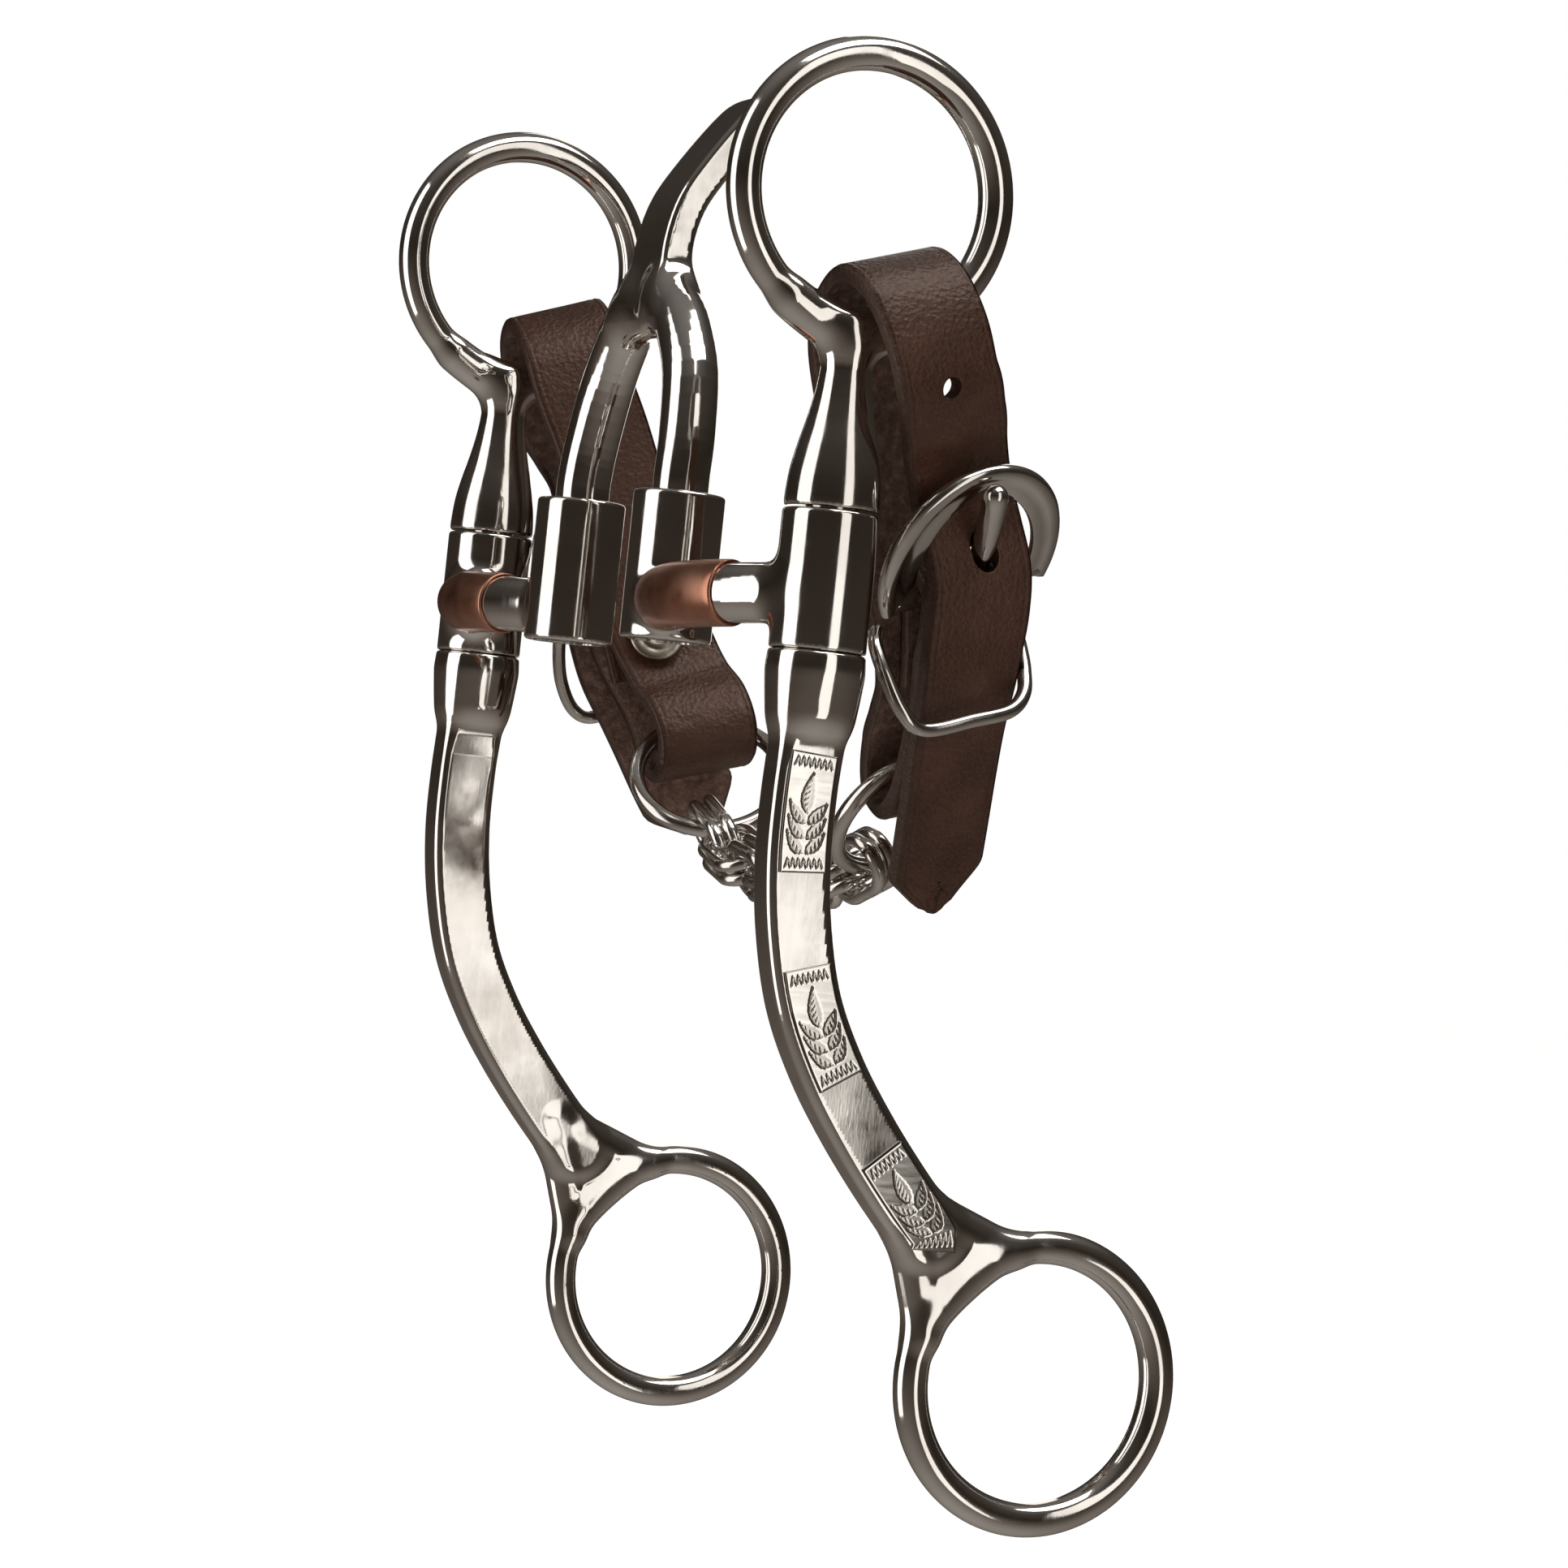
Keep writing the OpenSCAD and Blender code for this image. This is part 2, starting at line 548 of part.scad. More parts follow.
chain_link(3);  // chain_link_3
chain_link(4);  // chain_link_4
chain_link(5);  // chain_link_5
chain_link(6);  // chain_link_6
chain_link(7);  // chain_link_7
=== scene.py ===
import math

import bpy
import numpy as np
from mathutils import Matrix, Vector


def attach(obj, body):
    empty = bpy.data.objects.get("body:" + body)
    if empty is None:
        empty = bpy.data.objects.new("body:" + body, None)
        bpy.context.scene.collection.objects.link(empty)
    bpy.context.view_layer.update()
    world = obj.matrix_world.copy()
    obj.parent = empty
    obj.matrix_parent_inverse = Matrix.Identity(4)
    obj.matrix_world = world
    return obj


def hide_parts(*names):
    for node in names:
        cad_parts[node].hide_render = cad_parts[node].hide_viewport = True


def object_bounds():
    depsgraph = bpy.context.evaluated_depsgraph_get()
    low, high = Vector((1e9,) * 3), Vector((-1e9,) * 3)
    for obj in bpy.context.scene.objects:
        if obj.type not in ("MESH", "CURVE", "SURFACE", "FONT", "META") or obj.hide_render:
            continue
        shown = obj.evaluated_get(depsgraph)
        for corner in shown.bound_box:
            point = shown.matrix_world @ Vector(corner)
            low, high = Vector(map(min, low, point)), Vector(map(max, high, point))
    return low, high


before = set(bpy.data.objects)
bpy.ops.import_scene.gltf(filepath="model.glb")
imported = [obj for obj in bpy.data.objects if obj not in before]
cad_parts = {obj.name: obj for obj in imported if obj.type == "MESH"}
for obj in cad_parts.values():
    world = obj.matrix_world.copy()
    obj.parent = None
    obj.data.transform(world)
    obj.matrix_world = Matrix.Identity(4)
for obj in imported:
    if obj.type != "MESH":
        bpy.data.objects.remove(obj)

CAD_BOX = [list(v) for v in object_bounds()]
MM = 0.001
STEP = 0.42  # cell size of the cast pieces' meshes, in mm
PLATE_PITCH = 0.11  # grid size of the engraved plates, in mm
ROUTE_STEPS = 11  # rings between two points of a strap's route

# Each side's name, whether its pieces are mirrored, and its place in the lists of two
SIDES = (("left", False, 0), ("right", True, 1))

# ---------------------------------------------------------------- sizes, in mm, as in the CAD
# Every point but the chain's is given for the left side, at +X, and right pieces are mirrored
CHEEK_X = 70.4  # axis of the cheek's barrel
BARREL_R, BARREL_TOP = 7.0, 10.0
COLLAR_R = 6.9
PIN_BORE, PIN_DEPTH = 3.76, 8  # radius, and depth in the cheek and in the shank
CHEEK_BOTTOM = BARREL_TOP + 0.3
SHANK_TOP = -BARREL_TOP - 0.3
HEADSTALL = (1, 56, 19.7)  # the ring's centre in y and z, and its radius
REIN = (46.3, -111.7, 19.9)
RING_R = 2.55  # radius of both rings' rod
LEG_X, LEG_Y, LEG_R, LEG_BORE = 20.5, -3.3, 4.27, 4.36
HINGE_R, HINGE_TOP, HINGE_BOTTOM = 7.0, 13.9, -8.7
BAR_R, BAR_BOW, BAR_Z, BAR_RISE = 4.4, 9, -3.1, 1.5
BAR_STEPS = 14  # places along a mouth bar, from hinge to cheek
SHANK_HALF_W, SHANK_HALF_T = 5.0, 3.3
PLATE_HALF_W, PLATE_RISE = 3.6, 0.6
STRAP_W, STRAP_T = 16.6, 2.6
BUCKLE_WIRE, KEEPER_WIRE, END_WIRE, LINK_WIRE = 2.7, 2.2, 2.7, 2.2
END_RADIUS = 12.2


# ---------------------------------------------------------------- curves
def unit(v):
    v = np.asarray(v, float)
    return v / np.maximum(np.linalg.norm(v, axis=-1, keepdims=True), 1e-12)


def catmull(points, n):
    """A smooth curve through the points, with n steps from each one to the next."""
    p = np.array(points, float)
    last = len(p) - 1
    out = []
    for i in range(last):
        p0, p1, p2, p3 = p[max(i - 1, 0)], p[i], p[i + 1], p[min(i + 2, last)]
        for k in range(n):
            t = k / n
            out.append(0.5 * (2 * p1 + (p2 - p0) * t + (2 * p0 - 5 * p1 + 4 * p2 - p3) * t * t
                              + (3 * p1 - p0 - 3 * p2 + p3) * t ** 3))
    out.append(p[last])
    return np.array(out)


def directions(p, loop=False):
    """Unit directions along the path p."""
    if loop:
        return unit(np.roll(p, -1, 0) - np.roll(p, 1, 0))
    ahead = np.vstack([p[1:], p[-1:]])
    behind = np.vstack([p[:1], p[:-1]])
    return unit(ahead - behind)


def across(ref, t):
    """Unit vectors square to t, turned as near to ref as they can be."""
    return unit(ref - np.sum(ref * t, -1, keepdims=True) * t)


def run(path):
    """Distance along the path at each of its points."""
    return np.r_[0, np.cumsum(np.linalg.norm(np.diff(path, axis=0), axis=1))]


def sampled(s, along, rows):
    """The rows, which stand at the distances along, read off at the distances s."""
    return np.stack([np.interp(s, along, column) for column in rows.T], -1)


# ---------------------------------------------------------------- objects from arrays
def plain_object(name, verts, faces, mirror):
    """A linked mesh object from points in mm."""
    v = np.array(verts, float)
    if mirror:
        v = v * [-1, 1, 1]
        faces = [list(f)[::-1] for f in faces]
    mesh = bpy.data.meshes.new(name)
    mesh.from_pydata((v * MM).tolist(), [], [list(map(int, f)) for f in faces])
    mesh.update()
    ob = bpy.data.objects.new(name, mesh)
    bpy.context.scene.collection.objects.link(ob)
    return ob


def make(name, verts, faces, body, mat, nodes, normals=None, mirror=False, attrs=None, sharp=None):
    """A piece that rides on a body and replaces CAD nodes. sharp is an edge angle in degrees."""
    ob = plain_object(name, verts, faces, mirror)
    mesh = ob.data
    for key, values in (attrs or {}).items():
        a = mesh.attributes.new(key, "FLOAT", "POINT")
        a.data.foreach_set("value", np.asarray(values, np.float32))
    mesh.polygons.foreach_set("use_smooth", [True] * len(mesh.polygons))
    if sharp is not None:
        mesh.set_sharp_from_angle(angle=math.radians(sharp))
    if normals is not None:
        normals = normals * [-1, 1, 1] if mirror else normals
        mesh.normals_split_custom_set_from_vertices(unit(normals).tolist())
    mesh.materials.append(mat)
    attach(ob, body)
    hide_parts(*nodes)
    return ob


def loft(rings, loop=False):
    """Quads between rings of equal point count, with flat ends unless the rings form a loop."""
    n, m = len(rings), len(rings[0])
    verts = np.concatenate([np.asarray(r) for r in rings])
    faces = []
    for i in range(n if loop else n - 1):
        h = (i + 1) % n
        for j in range(m):
            k = (j + 1) % m
            faces.append((i * m + j, i * m + k, h * m + k, h * m + j))
    if not loop:
        faces.append(tuple(range(m - 1, -1, -1)))
        faces.append(tuple((n - 1) * m + j for j in range(m)))
    volume = 0.0
    for f in faces:
        a = verts[f[0]]
        for b, c in zip(f[1:-1], f[2:]):
            volume += a @ np.cross(verts[b], verts[c])
    if volume < 0:
        faces = [tuple(reversed(f)) for f in faces]
    return verts, faces


def wire_rings(path, ref, d, sides, loop=False, radius=None):
    """Circles of diameter d along the path, or of the radius given at each of its points."""
    path = np.asarray(path, float)
    t = directions(path, loop)
    w = across(np.broadcast_to(np.asarray(ref, float), path.shape), t)
    n = np.cross(t, w)
    a = 2 * np.pi * np.arange(sides) / sides
    out = []
    for i in range(len(path)):
        r = d / 2 if radius is None else radius[i]
        out.append(path[i] + r * (np.outer(np.cos(a), w[i]) + np.outer(np.sin(a), n[i])))
    return out


def rounded_ends(path, d, steps=5):
    """The path with points added so that a round wire closes in domes at both ends."""
    path = np.asarray(path, float)
    r = d / 2
    along = run(path)
    total = along[-1]
    dome = [r * (1 - math.cos(math.pi / 2 * k / steps)) for k in range(steps)]
    s = sorted(set([round(x, 5) for x in dome + [total - x for x in dome]] +
                   [round(x, 5) for x in along if r < x < total - r]))
    radii = [r * math.sqrt(max(0.0, 1 - max(0.0, 1 - min(x, total - x) / r) ** 2)) for x in s]
    return sampled(s, along, path), [max(x, 0.04) for x in radii]


def revolved(profile, step, order=(0, 1, 2)):
    """(radius, height) points turned about the last of the axes in order, every step degrees."""
    rings = []
    for a in np.radians(np.arange(0, 360, step)):
        rings.append(np.array([[r * math.cos(a), r * math.sin(a), z] for r, z in profile])[:, order])
    return loft(rings, loop=True)


def joined(parts):
    verts, faces, base = [], [], 0
    for v, f in parts:
        verts.append(np.asarray(v))
        faces += [tuple(i + base for i in q) for q in f]
        base += len(v)
    return np.concatenate(verts), faces


# ---------------------------------------------------------------- cast pieces from distance fields
def smin(a, b, k):
    h = np.clip(0.5 + 0.5 * (b - a) / k, 0, 1)
    return b + (a - b) * h - k * h * (1 - h)


def smax(a, b, k):
    return -smin(-a, -b, k)


def to_path(q, path):
    """Distance of points q to a path, and the place along it, as point index plus fraction."""
    best = np.full(len(q), 1e9)
    where = np.zeros(len(q))
    for i in range(len(path) - 1):
        a, d = path[i], path[i + 1] - path[i]
        t = np.clip(((q - a) @ d) / (d @ d), 0, 1)
        e = np.sum((q - a - t[:, None] * d) ** 2, 1)
        closer = e < best
        best = np.where(closer, e, best)
        where = np.where(closer, i + t, where)
    return np.sqrt(best), where


def box2(a, b, r):
    """Rounded bar section: a and b are the distances past its flat sides."""
    a, b = a + r, b + r
    return np.hypot(np.maximum(a, 0), np.maximum(b, 0)) + np.minimum(np.maximum(a, b), 0) - r


def torus(x, y, z, y0, z0, big, small):
    return np.hypot(np.hypot(y - y0, z - z0) - big, x) - small


def capsule(p, a, b, ra, rb):
    a, b = np.array(a, float), np.array(b, float)
    d = b - a
    t = np.clip(((p - a) @ d) / (d @ d), 0, 1)
    return np.linalg.norm(p - a - t[:, None] * d, axis=1) - (ra + (rb - ra) * t)


def disc_z(rho, z, r, z0, z1, round_r):
    return box2(rho - r, np.maximum(z0 - z, z - z1), round_r)


CORNERS = [np.array([i, j, k]) for i in (0, 1) for j in (0, 1) for k in (0, 1)]


def grid_values(f, lo, n, h):
    """f on a grid of n points: worked out near the surface, and plus or minus 9 elsewhere."""
    block = 4
    m = -(-n // block)
    middle = [lo[a] + h * (block * np.arange(m[a]) + (block - 1) / 2) for a in range(3)]
    coarse = f(np.stack(np.meshgrid(*middle, indexing="ij"), -1).reshape(-1, 3)).reshape(m)

    def spread(x):
        return x.repeat(block, 0).repeat(block, 1).repeat(block, 2)[:n[0], :n[1], :n[2]]

    val = spread(np.where(coarse > 0, 9.0, -9.0)).copy()
    near = np.argwhere(spread(np.abs(coarse) < h * block * 1.2 + 0.8))
    val[tuple(near.T)] = f(lo + h * near)
    return val


def crossed_cells(val):
    """The cells that the surface crosses, and a point in each: the mean of its edges' crossings."""
    count = sum((val < 0)[tuple(slice(c, n - 1 + c) for c, n in zip(corner, val.shape))].astype(int)
                for corner in CORNERS)
    cells = np.argwhere((count > 0) & (count < 8))
    total, hits = np.zeros((len(cells), 3)), np.zeros(len(cells))
    for start in CORNERS:
        for a in np.flatnonzero(start == 0):
            edge = np.eye(3, dtype=int)[a]
            here, there = val[tuple((cells + start).T)], val[tuple((cells + start + edge).T)]
            cut = (here < 0) != (there < 0)
            t = np.where(cut, here / np.where(cut, here - there, 1), 0)
            total += np.where(cut[:, None], start + t[:, None] * edge, 0)
            hits += cut
    return cells, total / hits[:, None]


def crossed_quads(neg, cells):
    """One quad round each grid edge that the surface cuts, made of the four cells beside it."""
    number = np.full(neg.shape, -1)
    number[tuple(cells.T)] = np.arange(len(cells))
    faces = []
    for a in range(3):
        b, c = (a + 1) % 3, (a + 2) % 3
        lower, upper = [slice(None)] * 3, [slice(None)] * 3
        lower[a], upper[a] = slice(0, neg.shape[a] - 1), slice(1, neg.shape[a])
        edge = np.argwhere(neg[tuple(lower)] != neg[tuple(upper)])
        edge = edge[(edge[:, b] > 0) & (edge[:, c] > 0)]
        eb, ec = np.eye(3, dtype=int)[b], np.eye(3, dtype=int)[c]
        quad = np.stack([number[tuple((edge - s).T)] for s in (0 * eb, eb, eb + ec, ec)], 1)
        outward = neg[tuple(edge.T)]
        quad[~outward] = quad[~outward][:, ::-1]
        faces.append(quad)
    faces = np.concatenate(faces)
    return faces[(faces >= 0).all(1)]


def gradient(f, p, e=0.02):
    return np.stack([(f(p + e * u) - f(p - e * u)) / (2 * e) for u in np.eye(3)], 1)


def solid_mesh(f, lo, hi, h):
    """Points, quads and normals on f = 0, from a grid of cells of size h."""
    lo, hi = np.array(lo, float), np.array(hi, float)
    val = grid_values(f, lo, np.ceil((hi - lo) / h).astype(int) + 1, h)
    cells, inside = crossed_cells(val)
    pos = lo + h * (cells + inside)
    for _ in range(3):
        g = gradient(f, pos)
        move = -f(pos)[:, None] * g / np.maximum(np.sum(g * g, 1), 0.2)[:, None]
        size = np.linalg.norm(move, axis=1, keepdims=True)
        pos = pos + move * np.minimum(1, 0.45 * h / np.maximum(size, 1e-9))
    return pos, crossed_quads(val < 0, cells), unit(gradient(f, pos))


# ---------------------------------------------------------------- shapes of the castings
# Cheek: a round neck with a collar at its foot, which spreads in two arms into the ring
NECK_TOP = 38
neck = catmull([[COLLAR_R, CHEEK_BOTTOM], [COLLAR_R, 12], [6.6, 15.5], [5.9, 19], [4.9, 23], [4.1, 27],
                [3.7, 31], [4.0, 34], [4.4, NECK_TOP]], 4)


def cheek_field(p):
    x, y, z = p.T
    rho = np.hypot(x, y)
    slope = np.gradient(neck[:, 0], neck[:, 1])
    r = np.interp(z, neck[:, 1], neck[:, 0])
    steepness = 1 / np.sqrt(1 + np.interp(z, neck[:, 1], slope) ** 2)
    body = smax((rho - r) * steepness, z - NECK_TOP - 0.5, 2.0)
    body = smax(body, CHEEK_BOTTOM - z, 0.5)
    ring_y, ring_z, ring_radius = HEADSTALL
    for a in np.radians((-32, 24)):
        end = [0, ring_y + ring_radius * math.sin(a), ring_z - ring_radius * math.cos(a)]
        body = smin(body, capsule(p, [0, 0, 34], end, 3.3, RING_R), 2.2)
    body = smin(body, torus(x, y, z, *HEADSTALL, RING_R), 2.6)
    bore = np.maximum(rho - PIN_BORE, z - CHEEK_BOTTOM - PIN_DEPTH)
    return np.maximum(body, -bore)


# Shank: collar, flat bar on an S curve, and a web that spreads into the rein ring
SHANK_ROUTE = [[0, SHANK_TOP - 11], [-0.5, -30], [-0.4, -40], [0.9, -50], [3.6, -60], [8.2, -69],
               [13.8, -77], [20, -84.5], [26, -91]]
shank_line = np.vstack([[[0, -14.0], [0, -17.5]], catmull(SHANK_ROUTE, 12)])
# z and radius of the collar, then z, half width, half thickness and edge radius of the bar below it
COLLAR = np.array([[-24, 5.4], [-20, 5.9], [-16, 6.4], [-12.5, 6.8], [SHANK_TOP, COLLAR_R]])
SHOULDER = np.array([[-27, SHANK_HALF_W, SHANK_HALF_T, 1.5], [-22, 5.2, 3.7, 2.4],
                     [-17, 5.9, 5.0, 4.2], [-13, 6.3, 6.0, 5.6]])
WEB_TIP = np.array([22, -86.4])


def rein_rim(degrees):
    """Point (y, z) on the rein ring's centre line, turned to the front from its top."""
    a = math.radians(degrees)
    y, z, radius = REIN
    return np.array([y - radius * math.sin(a), z + radius * math.cos(a)])


def to_triangle(q, a, b, c):
    best = np.full(len(q), 1e9)
    sides = []
    for u, v in ((a, b), (b, c), (c, a)):
        d = v - u
        t = np.clip(((q - u) @ d) / (d @ d), 0, 1)
        best = np.minimum(best, np.linalg.norm(q - u - t[:, None] * d, axis=1))
        sides.append(d[0] * (q[:, 1] - u[1]) - d[1] * (q[:, 0] - u[0]))
    s = np.stack(sides)
    inside = (s >= 0).all(0) | (s <= 0).all(0)
    return np.where(inside, 0, best)


def shank_field(p):
    x, y, z = p.T
    rho = np.hypot(x, y)
    r = np.interp(z, COLLAR[:, 0], COLLAR[:, 1])
    collar = smax(smax(rho - r, z - SHANK_TOP, 0.5), -21.5 - z, 3.0)
    d, _ = to_path(p[:, 1:], shank_line)
    half_w, half_t, edge = sampled(z, SHOULDER[:, 0], SHOULDER[:, 1:]).T
    body = smin(collar, box2(d - half_w, np.abs(x) - half_t, edge), 2.5)
    web = np.hypot(to_triangle(p[:, 1:], WEB_TIP, rein_rim(60), rein_rim(28)), x) - 2.75
    for start, angle in (([0, 27.4, -87.6], 18), ([0, 23, -92], 72)):
        web = smin(web, capsule(p, start, [0, *rein_rim(angle)], 2.4, RING_R), 1.6)
    body = smin(body, web, 2.0)
    body = smin(body, torus(x, y, z, *REIN, RING_R), 2.2)
    bore = np.maximum(rho - PIN_BORE, SHANK_TOP - PIN_DEPTH - z)
    return np.maximum(body, -bore)


# Port: two round legs that meet in a flat stem, bent to the rear at its top
leg_line = np.vstack([[[LEG_X, LEG_Y, HINGE_BOTTOM + 2.2], [LEG_X, LEG_Y, 8]],
                      catmull([[LEG_X, LEG_Y, HINGE_TOP], [LEG_X, LEG_Y, 17], [19.9, -2.9, 23],
                               [17.1, -2.3, 32.5], [12.3, -2.2, 39.4], [8.2, -2.2, 43],
                               [5.2, -2.2, 44.6]], 4)])
stem_line = catmull([[-2.2, 43], [-2.2, 48], [-1.9, 54], [-0.3, 60], [3.2, 66], [8.2, 73],
                     [12.2, 77.5]], 6)
STEM_HALF_W, STEM_HALF_T = 6.6, 1.9


def port_field(p):
    x = np.abs(p[:, 0])
    d, _ = to_path(np.column_stack([x, p[:, 1:]]), leg_line)
    leg = smax(d - LEG_R, HINGE_BOTTOM + 2.0 - p[:, 2], 0.4)
    d, s = to_path(p[:, 1:], stem_line)
    from_tip = len(stem_line) - 1 - s
    narrow = np.sqrt(np.clip(1 - (np.clip(4.5 - from_tip, 0, None) / 5.2) ** 2, 0.02, 1))
    flare = 3.6 * np.clip((55 - p[:, 2]) / 14, 0, 1) ** 2
    past_face = d - (STEM_HALF_T * narrow + 0.6) - 0.45 * flare
    stem = box2(x - STEM_HALF_W * narrow - flare, past_face, 1.0)
    return smin(leg, stem, 2.8)


# Mouth bars: bowed bar between the inner hinge barrel and the cheek barrel
def bar_point(i):
    s = np.asarray(i, float) / BAR_STEPS
    return np.stack([LEG_X + (CHEEK_X - LEG_X) * s, LEG_Y * (1 - s) - BAR_BOW * np.sin(np.pi * s),
                     BAR_Z + BAR_RISE * s * s], -1)


bar_line = bar_point(np.linspace(0.4, BAR_STEPS - 0.4, 34))


def bar_field(p):
    x, y, z = p.T
    d, _ = to_path(p, bar_line)
    inner = np.hypot(x - LEG_X, y - LEG_Y)
    outer = np.hypot(x - CHEEK_X, y)
    body = smin(d - BAR_R, disc_z(inner, z, HINGE_R, HINGE_BOTTOM, HINGE_TOP, 0.6), 1.6)
    body = smin(body, disc_z(outer, z, BARREL_R, -BARREL_TOP, BARREL_TOP, 0.5), 3.4)
    body = np.maximum(body, LEG_BORE - inner)
    washer_seat = np.maximum(inner - 5.5, z - HINGE_BOTTOM - 2.3)
    body = np.maximum(body, -washer_seat)
    return np.maximum(body, PIN_BORE - outer)


# ---------------------------------------------------------------- materials
class Shader:
    """A node tree, with short calls that each add a node and return its output."""

    def __init__(self, tree):
        self.nodes = tree.nodes
        self.links = tree.links

    def feed(self, socket, source):
        """Link an output to the socket, or give it a number or a colour."""
        if isinstance(source, (int, float)):
            socket.default_value = source
        elif isinstance(source, tuple):
            socket.default_value = (*source, 1)
        else:
            self.links.new(source, socket)

    def in_place(self, node, stretch=None):
        """Feed a texture node with the piece's own coordinates."""
        source = self.nodes.new("ShaderNodeTexCoord").outputs["Object"]
        if stretch:
            mapping = self.nodes.new("ShaderNodeMapping")
            mapping.inputs["Scale"].default_value = stretch
            self.links.new(source, mapping.inputs["Vector"])
            source = mapping.outputs["Vector"]
        self.links.new(source, node.inputs["Vector"])

    def noise(self, scale, detail=3.0, stretch=None, rough=0.5):
        node = self.nodes.new("ShaderNodeTexNoise")
        for key, value in (("Scale", scale), ("Detail", detail), ("Roughness", rough)):
            node.inputs[key].default_value = value
        self.in_place(node, stretch)
        return node.outputs["Fac"]

    def cells(self, scale):
        node = self.nodes.new("ShaderNodeTexVoronoi")
        node.inputs["Scale"].default_value = scale
        self.in_place(node)
        return node.outputs["Distance"]

    def ramp(self, source, stops):
        node = self.nodes.new("ShaderNodeValToRGB")
        elements = node.color_ramp.elements
        while len(elements) < len(stops):
            elements.new(0.5)
        for element, (position, colour) in zip(elements, stops):
            element.position = position
            element.color = (*colour, 1)
        self.links.new(source, node.inputs["Fac"])
        return node.outputs["Color"]

    def mapped(self, source, from_lo, from_hi, to_lo, to_hi):
        node = self.nodes.new("ShaderNodeMapRange")
        for key, value in (("From Min", from_lo), ("From Max", from_hi), ("To Min", to_lo),
                           ("To Max", to_hi)):
            node.inputs[key].default_value = value
        self.links.new(source, node.inputs["Value"])
        return node.outputs["Result"]

    def maths(self, operation, a, b):
        node = self.nodes.new("ShaderNodeMath")
        node.operation = operation
        self.feed(node.inputs[0], a)
        self.feed(node.inputs[1], b)
        return node.outputs[0]

    def times(self, a, b):
        return self.maths("MULTIPLY", a, b)

    def plus(self, a, b):
        return self.maths("ADD", a, b)

    def mixed(self, factor, a, b):
        node = self.nodes.new("ShaderNodeMix")
        node.data_type = "RGBA"
        for key, kind, source in (("Factor", "VALUE", factor), ("A", "RGBA", a), ("B", "RGBA", b)):
            self.feed([q for q in node.inputs if q.name == key and q.type == kind][0], source)
        return [q for q in node.outputs if q.type == "RGBA"][0]

    def bumped(self, height, strength, distance, before=None):
        node = self.nodes.new("ShaderNodeBump")
        node.inputs["Strength"].default_value = strength
        node.inputs["Distance"].default_value = distance
        self.links.new(height, node.inputs["Height"])
        if before is not None:
            self.links.new(before, node.inputs["Normal"])
        return node.outputs["Normal"]

    def attribute(self, name):
        node = self.nodes.new("ShaderNodeAttribute")
        node.attribute_name = name
        return node.outputs["Fac"]


def surface(name, colour, rough, metallic=1.0):
    """A material with plain values, the shader for its finer ones, and its Principled inputs."""
    m = bpy.data.materials.new(name)
    m.use_nodes = True
    inputs = m.node_tree.nodes["Principled BSDF"].inputs
    inputs["Base Color"].default_value = (*colour, 1)
    inputs["Roughness"].default_value = rough
    inputs["Metallic"].default_value = metallic
    return m, Shader(m.node_tree), inputs


def steel_material(name, light, dark, smooth, worn, wave):
    m, s, inputs = surface(name, light, 0.1)
    s.feed(inputs["Base Color"], s.ramp(s.noise(70, 4), [(0.35, dark), (0.62, light)]))
    wear = s.plus(s.times(s.noise(160, 5, rough=0.65), 0.75),
                  s.times(s.noise(900, 3, stretch=(1, 1, 0.12)), 0.25))
    s.feed(inputs["Roughness"], s.mapped(wear, 0.38, 0.68, smooth, worn))
    swell = s.bumped(s.noise(75, 1.5), wave, 0.002)
    pits = s.noise(2200, 2, stretch=(1, 1, 0.3))
    s.feed(inputs["Normal"], s.bumped(pits, 0.03, 0.00006, swell))
    return m


def plate_material():
    m, s, inputs = surface("engraved_silver", (0.9, 0.87, 0.82), 0.25)
    # cut darkens the face for the engraved lines, and it also paints the leaves' shade and their edges'
    # shadow
    cut = s.attribute("cut")
    face = s.ramp(s.noise(260, 4), [(0.3, (0.80, 0.76, 0.70)), (0.7, (0.93, 0.90, 0.85))])
    dark = s.mixed(cut, face, (0.20, 0.165, 0.13))
    s.feed(inputs["Base Color"], s.mixed(s.attribute("rim"), dark, (0.10, 0.085, 0.07)))
    brush = s.noise(1400, 2, stretch=(1, 0.12, 1))
    s.feed(inputs["Roughness"], s.plus(s.mapped(brush, 0.3, 0.7, 0.07, 0.14), s.times(cut, 0.25)))
    s.feed(inputs["Normal"], s.bumped(brush, 0.05, 0.00003))
    return m


def copper_material():
    m, s, inputs = surface("copper_tube", (0.62, 0.28, 0.17), 0.3)
    cloud = s.noise(130, 5, rough=0.6)
    tone = s.ramp(cloud, [(0.3, (0.40, 0.165, 0.10)), (0.5, (0.60, 0.285, 0.185)),
                          (0.72, (0.76, 0.42, 0.30))])
    spots = s.mapped(s.noise(520, 3), 0.45, 0.75, 0, 0.35)
    s.feed(inputs["Base Color"], s.mixed(spots, tone, (0.36, 0.15, 0.10)))
    s.feed(inputs["Roughness"], s.mapped(cloud, 0.3, 0.7, 0.24, 0.40))
    drawn = s.noise(1500, 2, stretch=(0.15, 1, 1))
    s.feed(inputs["Normal"], s.bumped(drawn, 0.15, 0.00006))
    return m


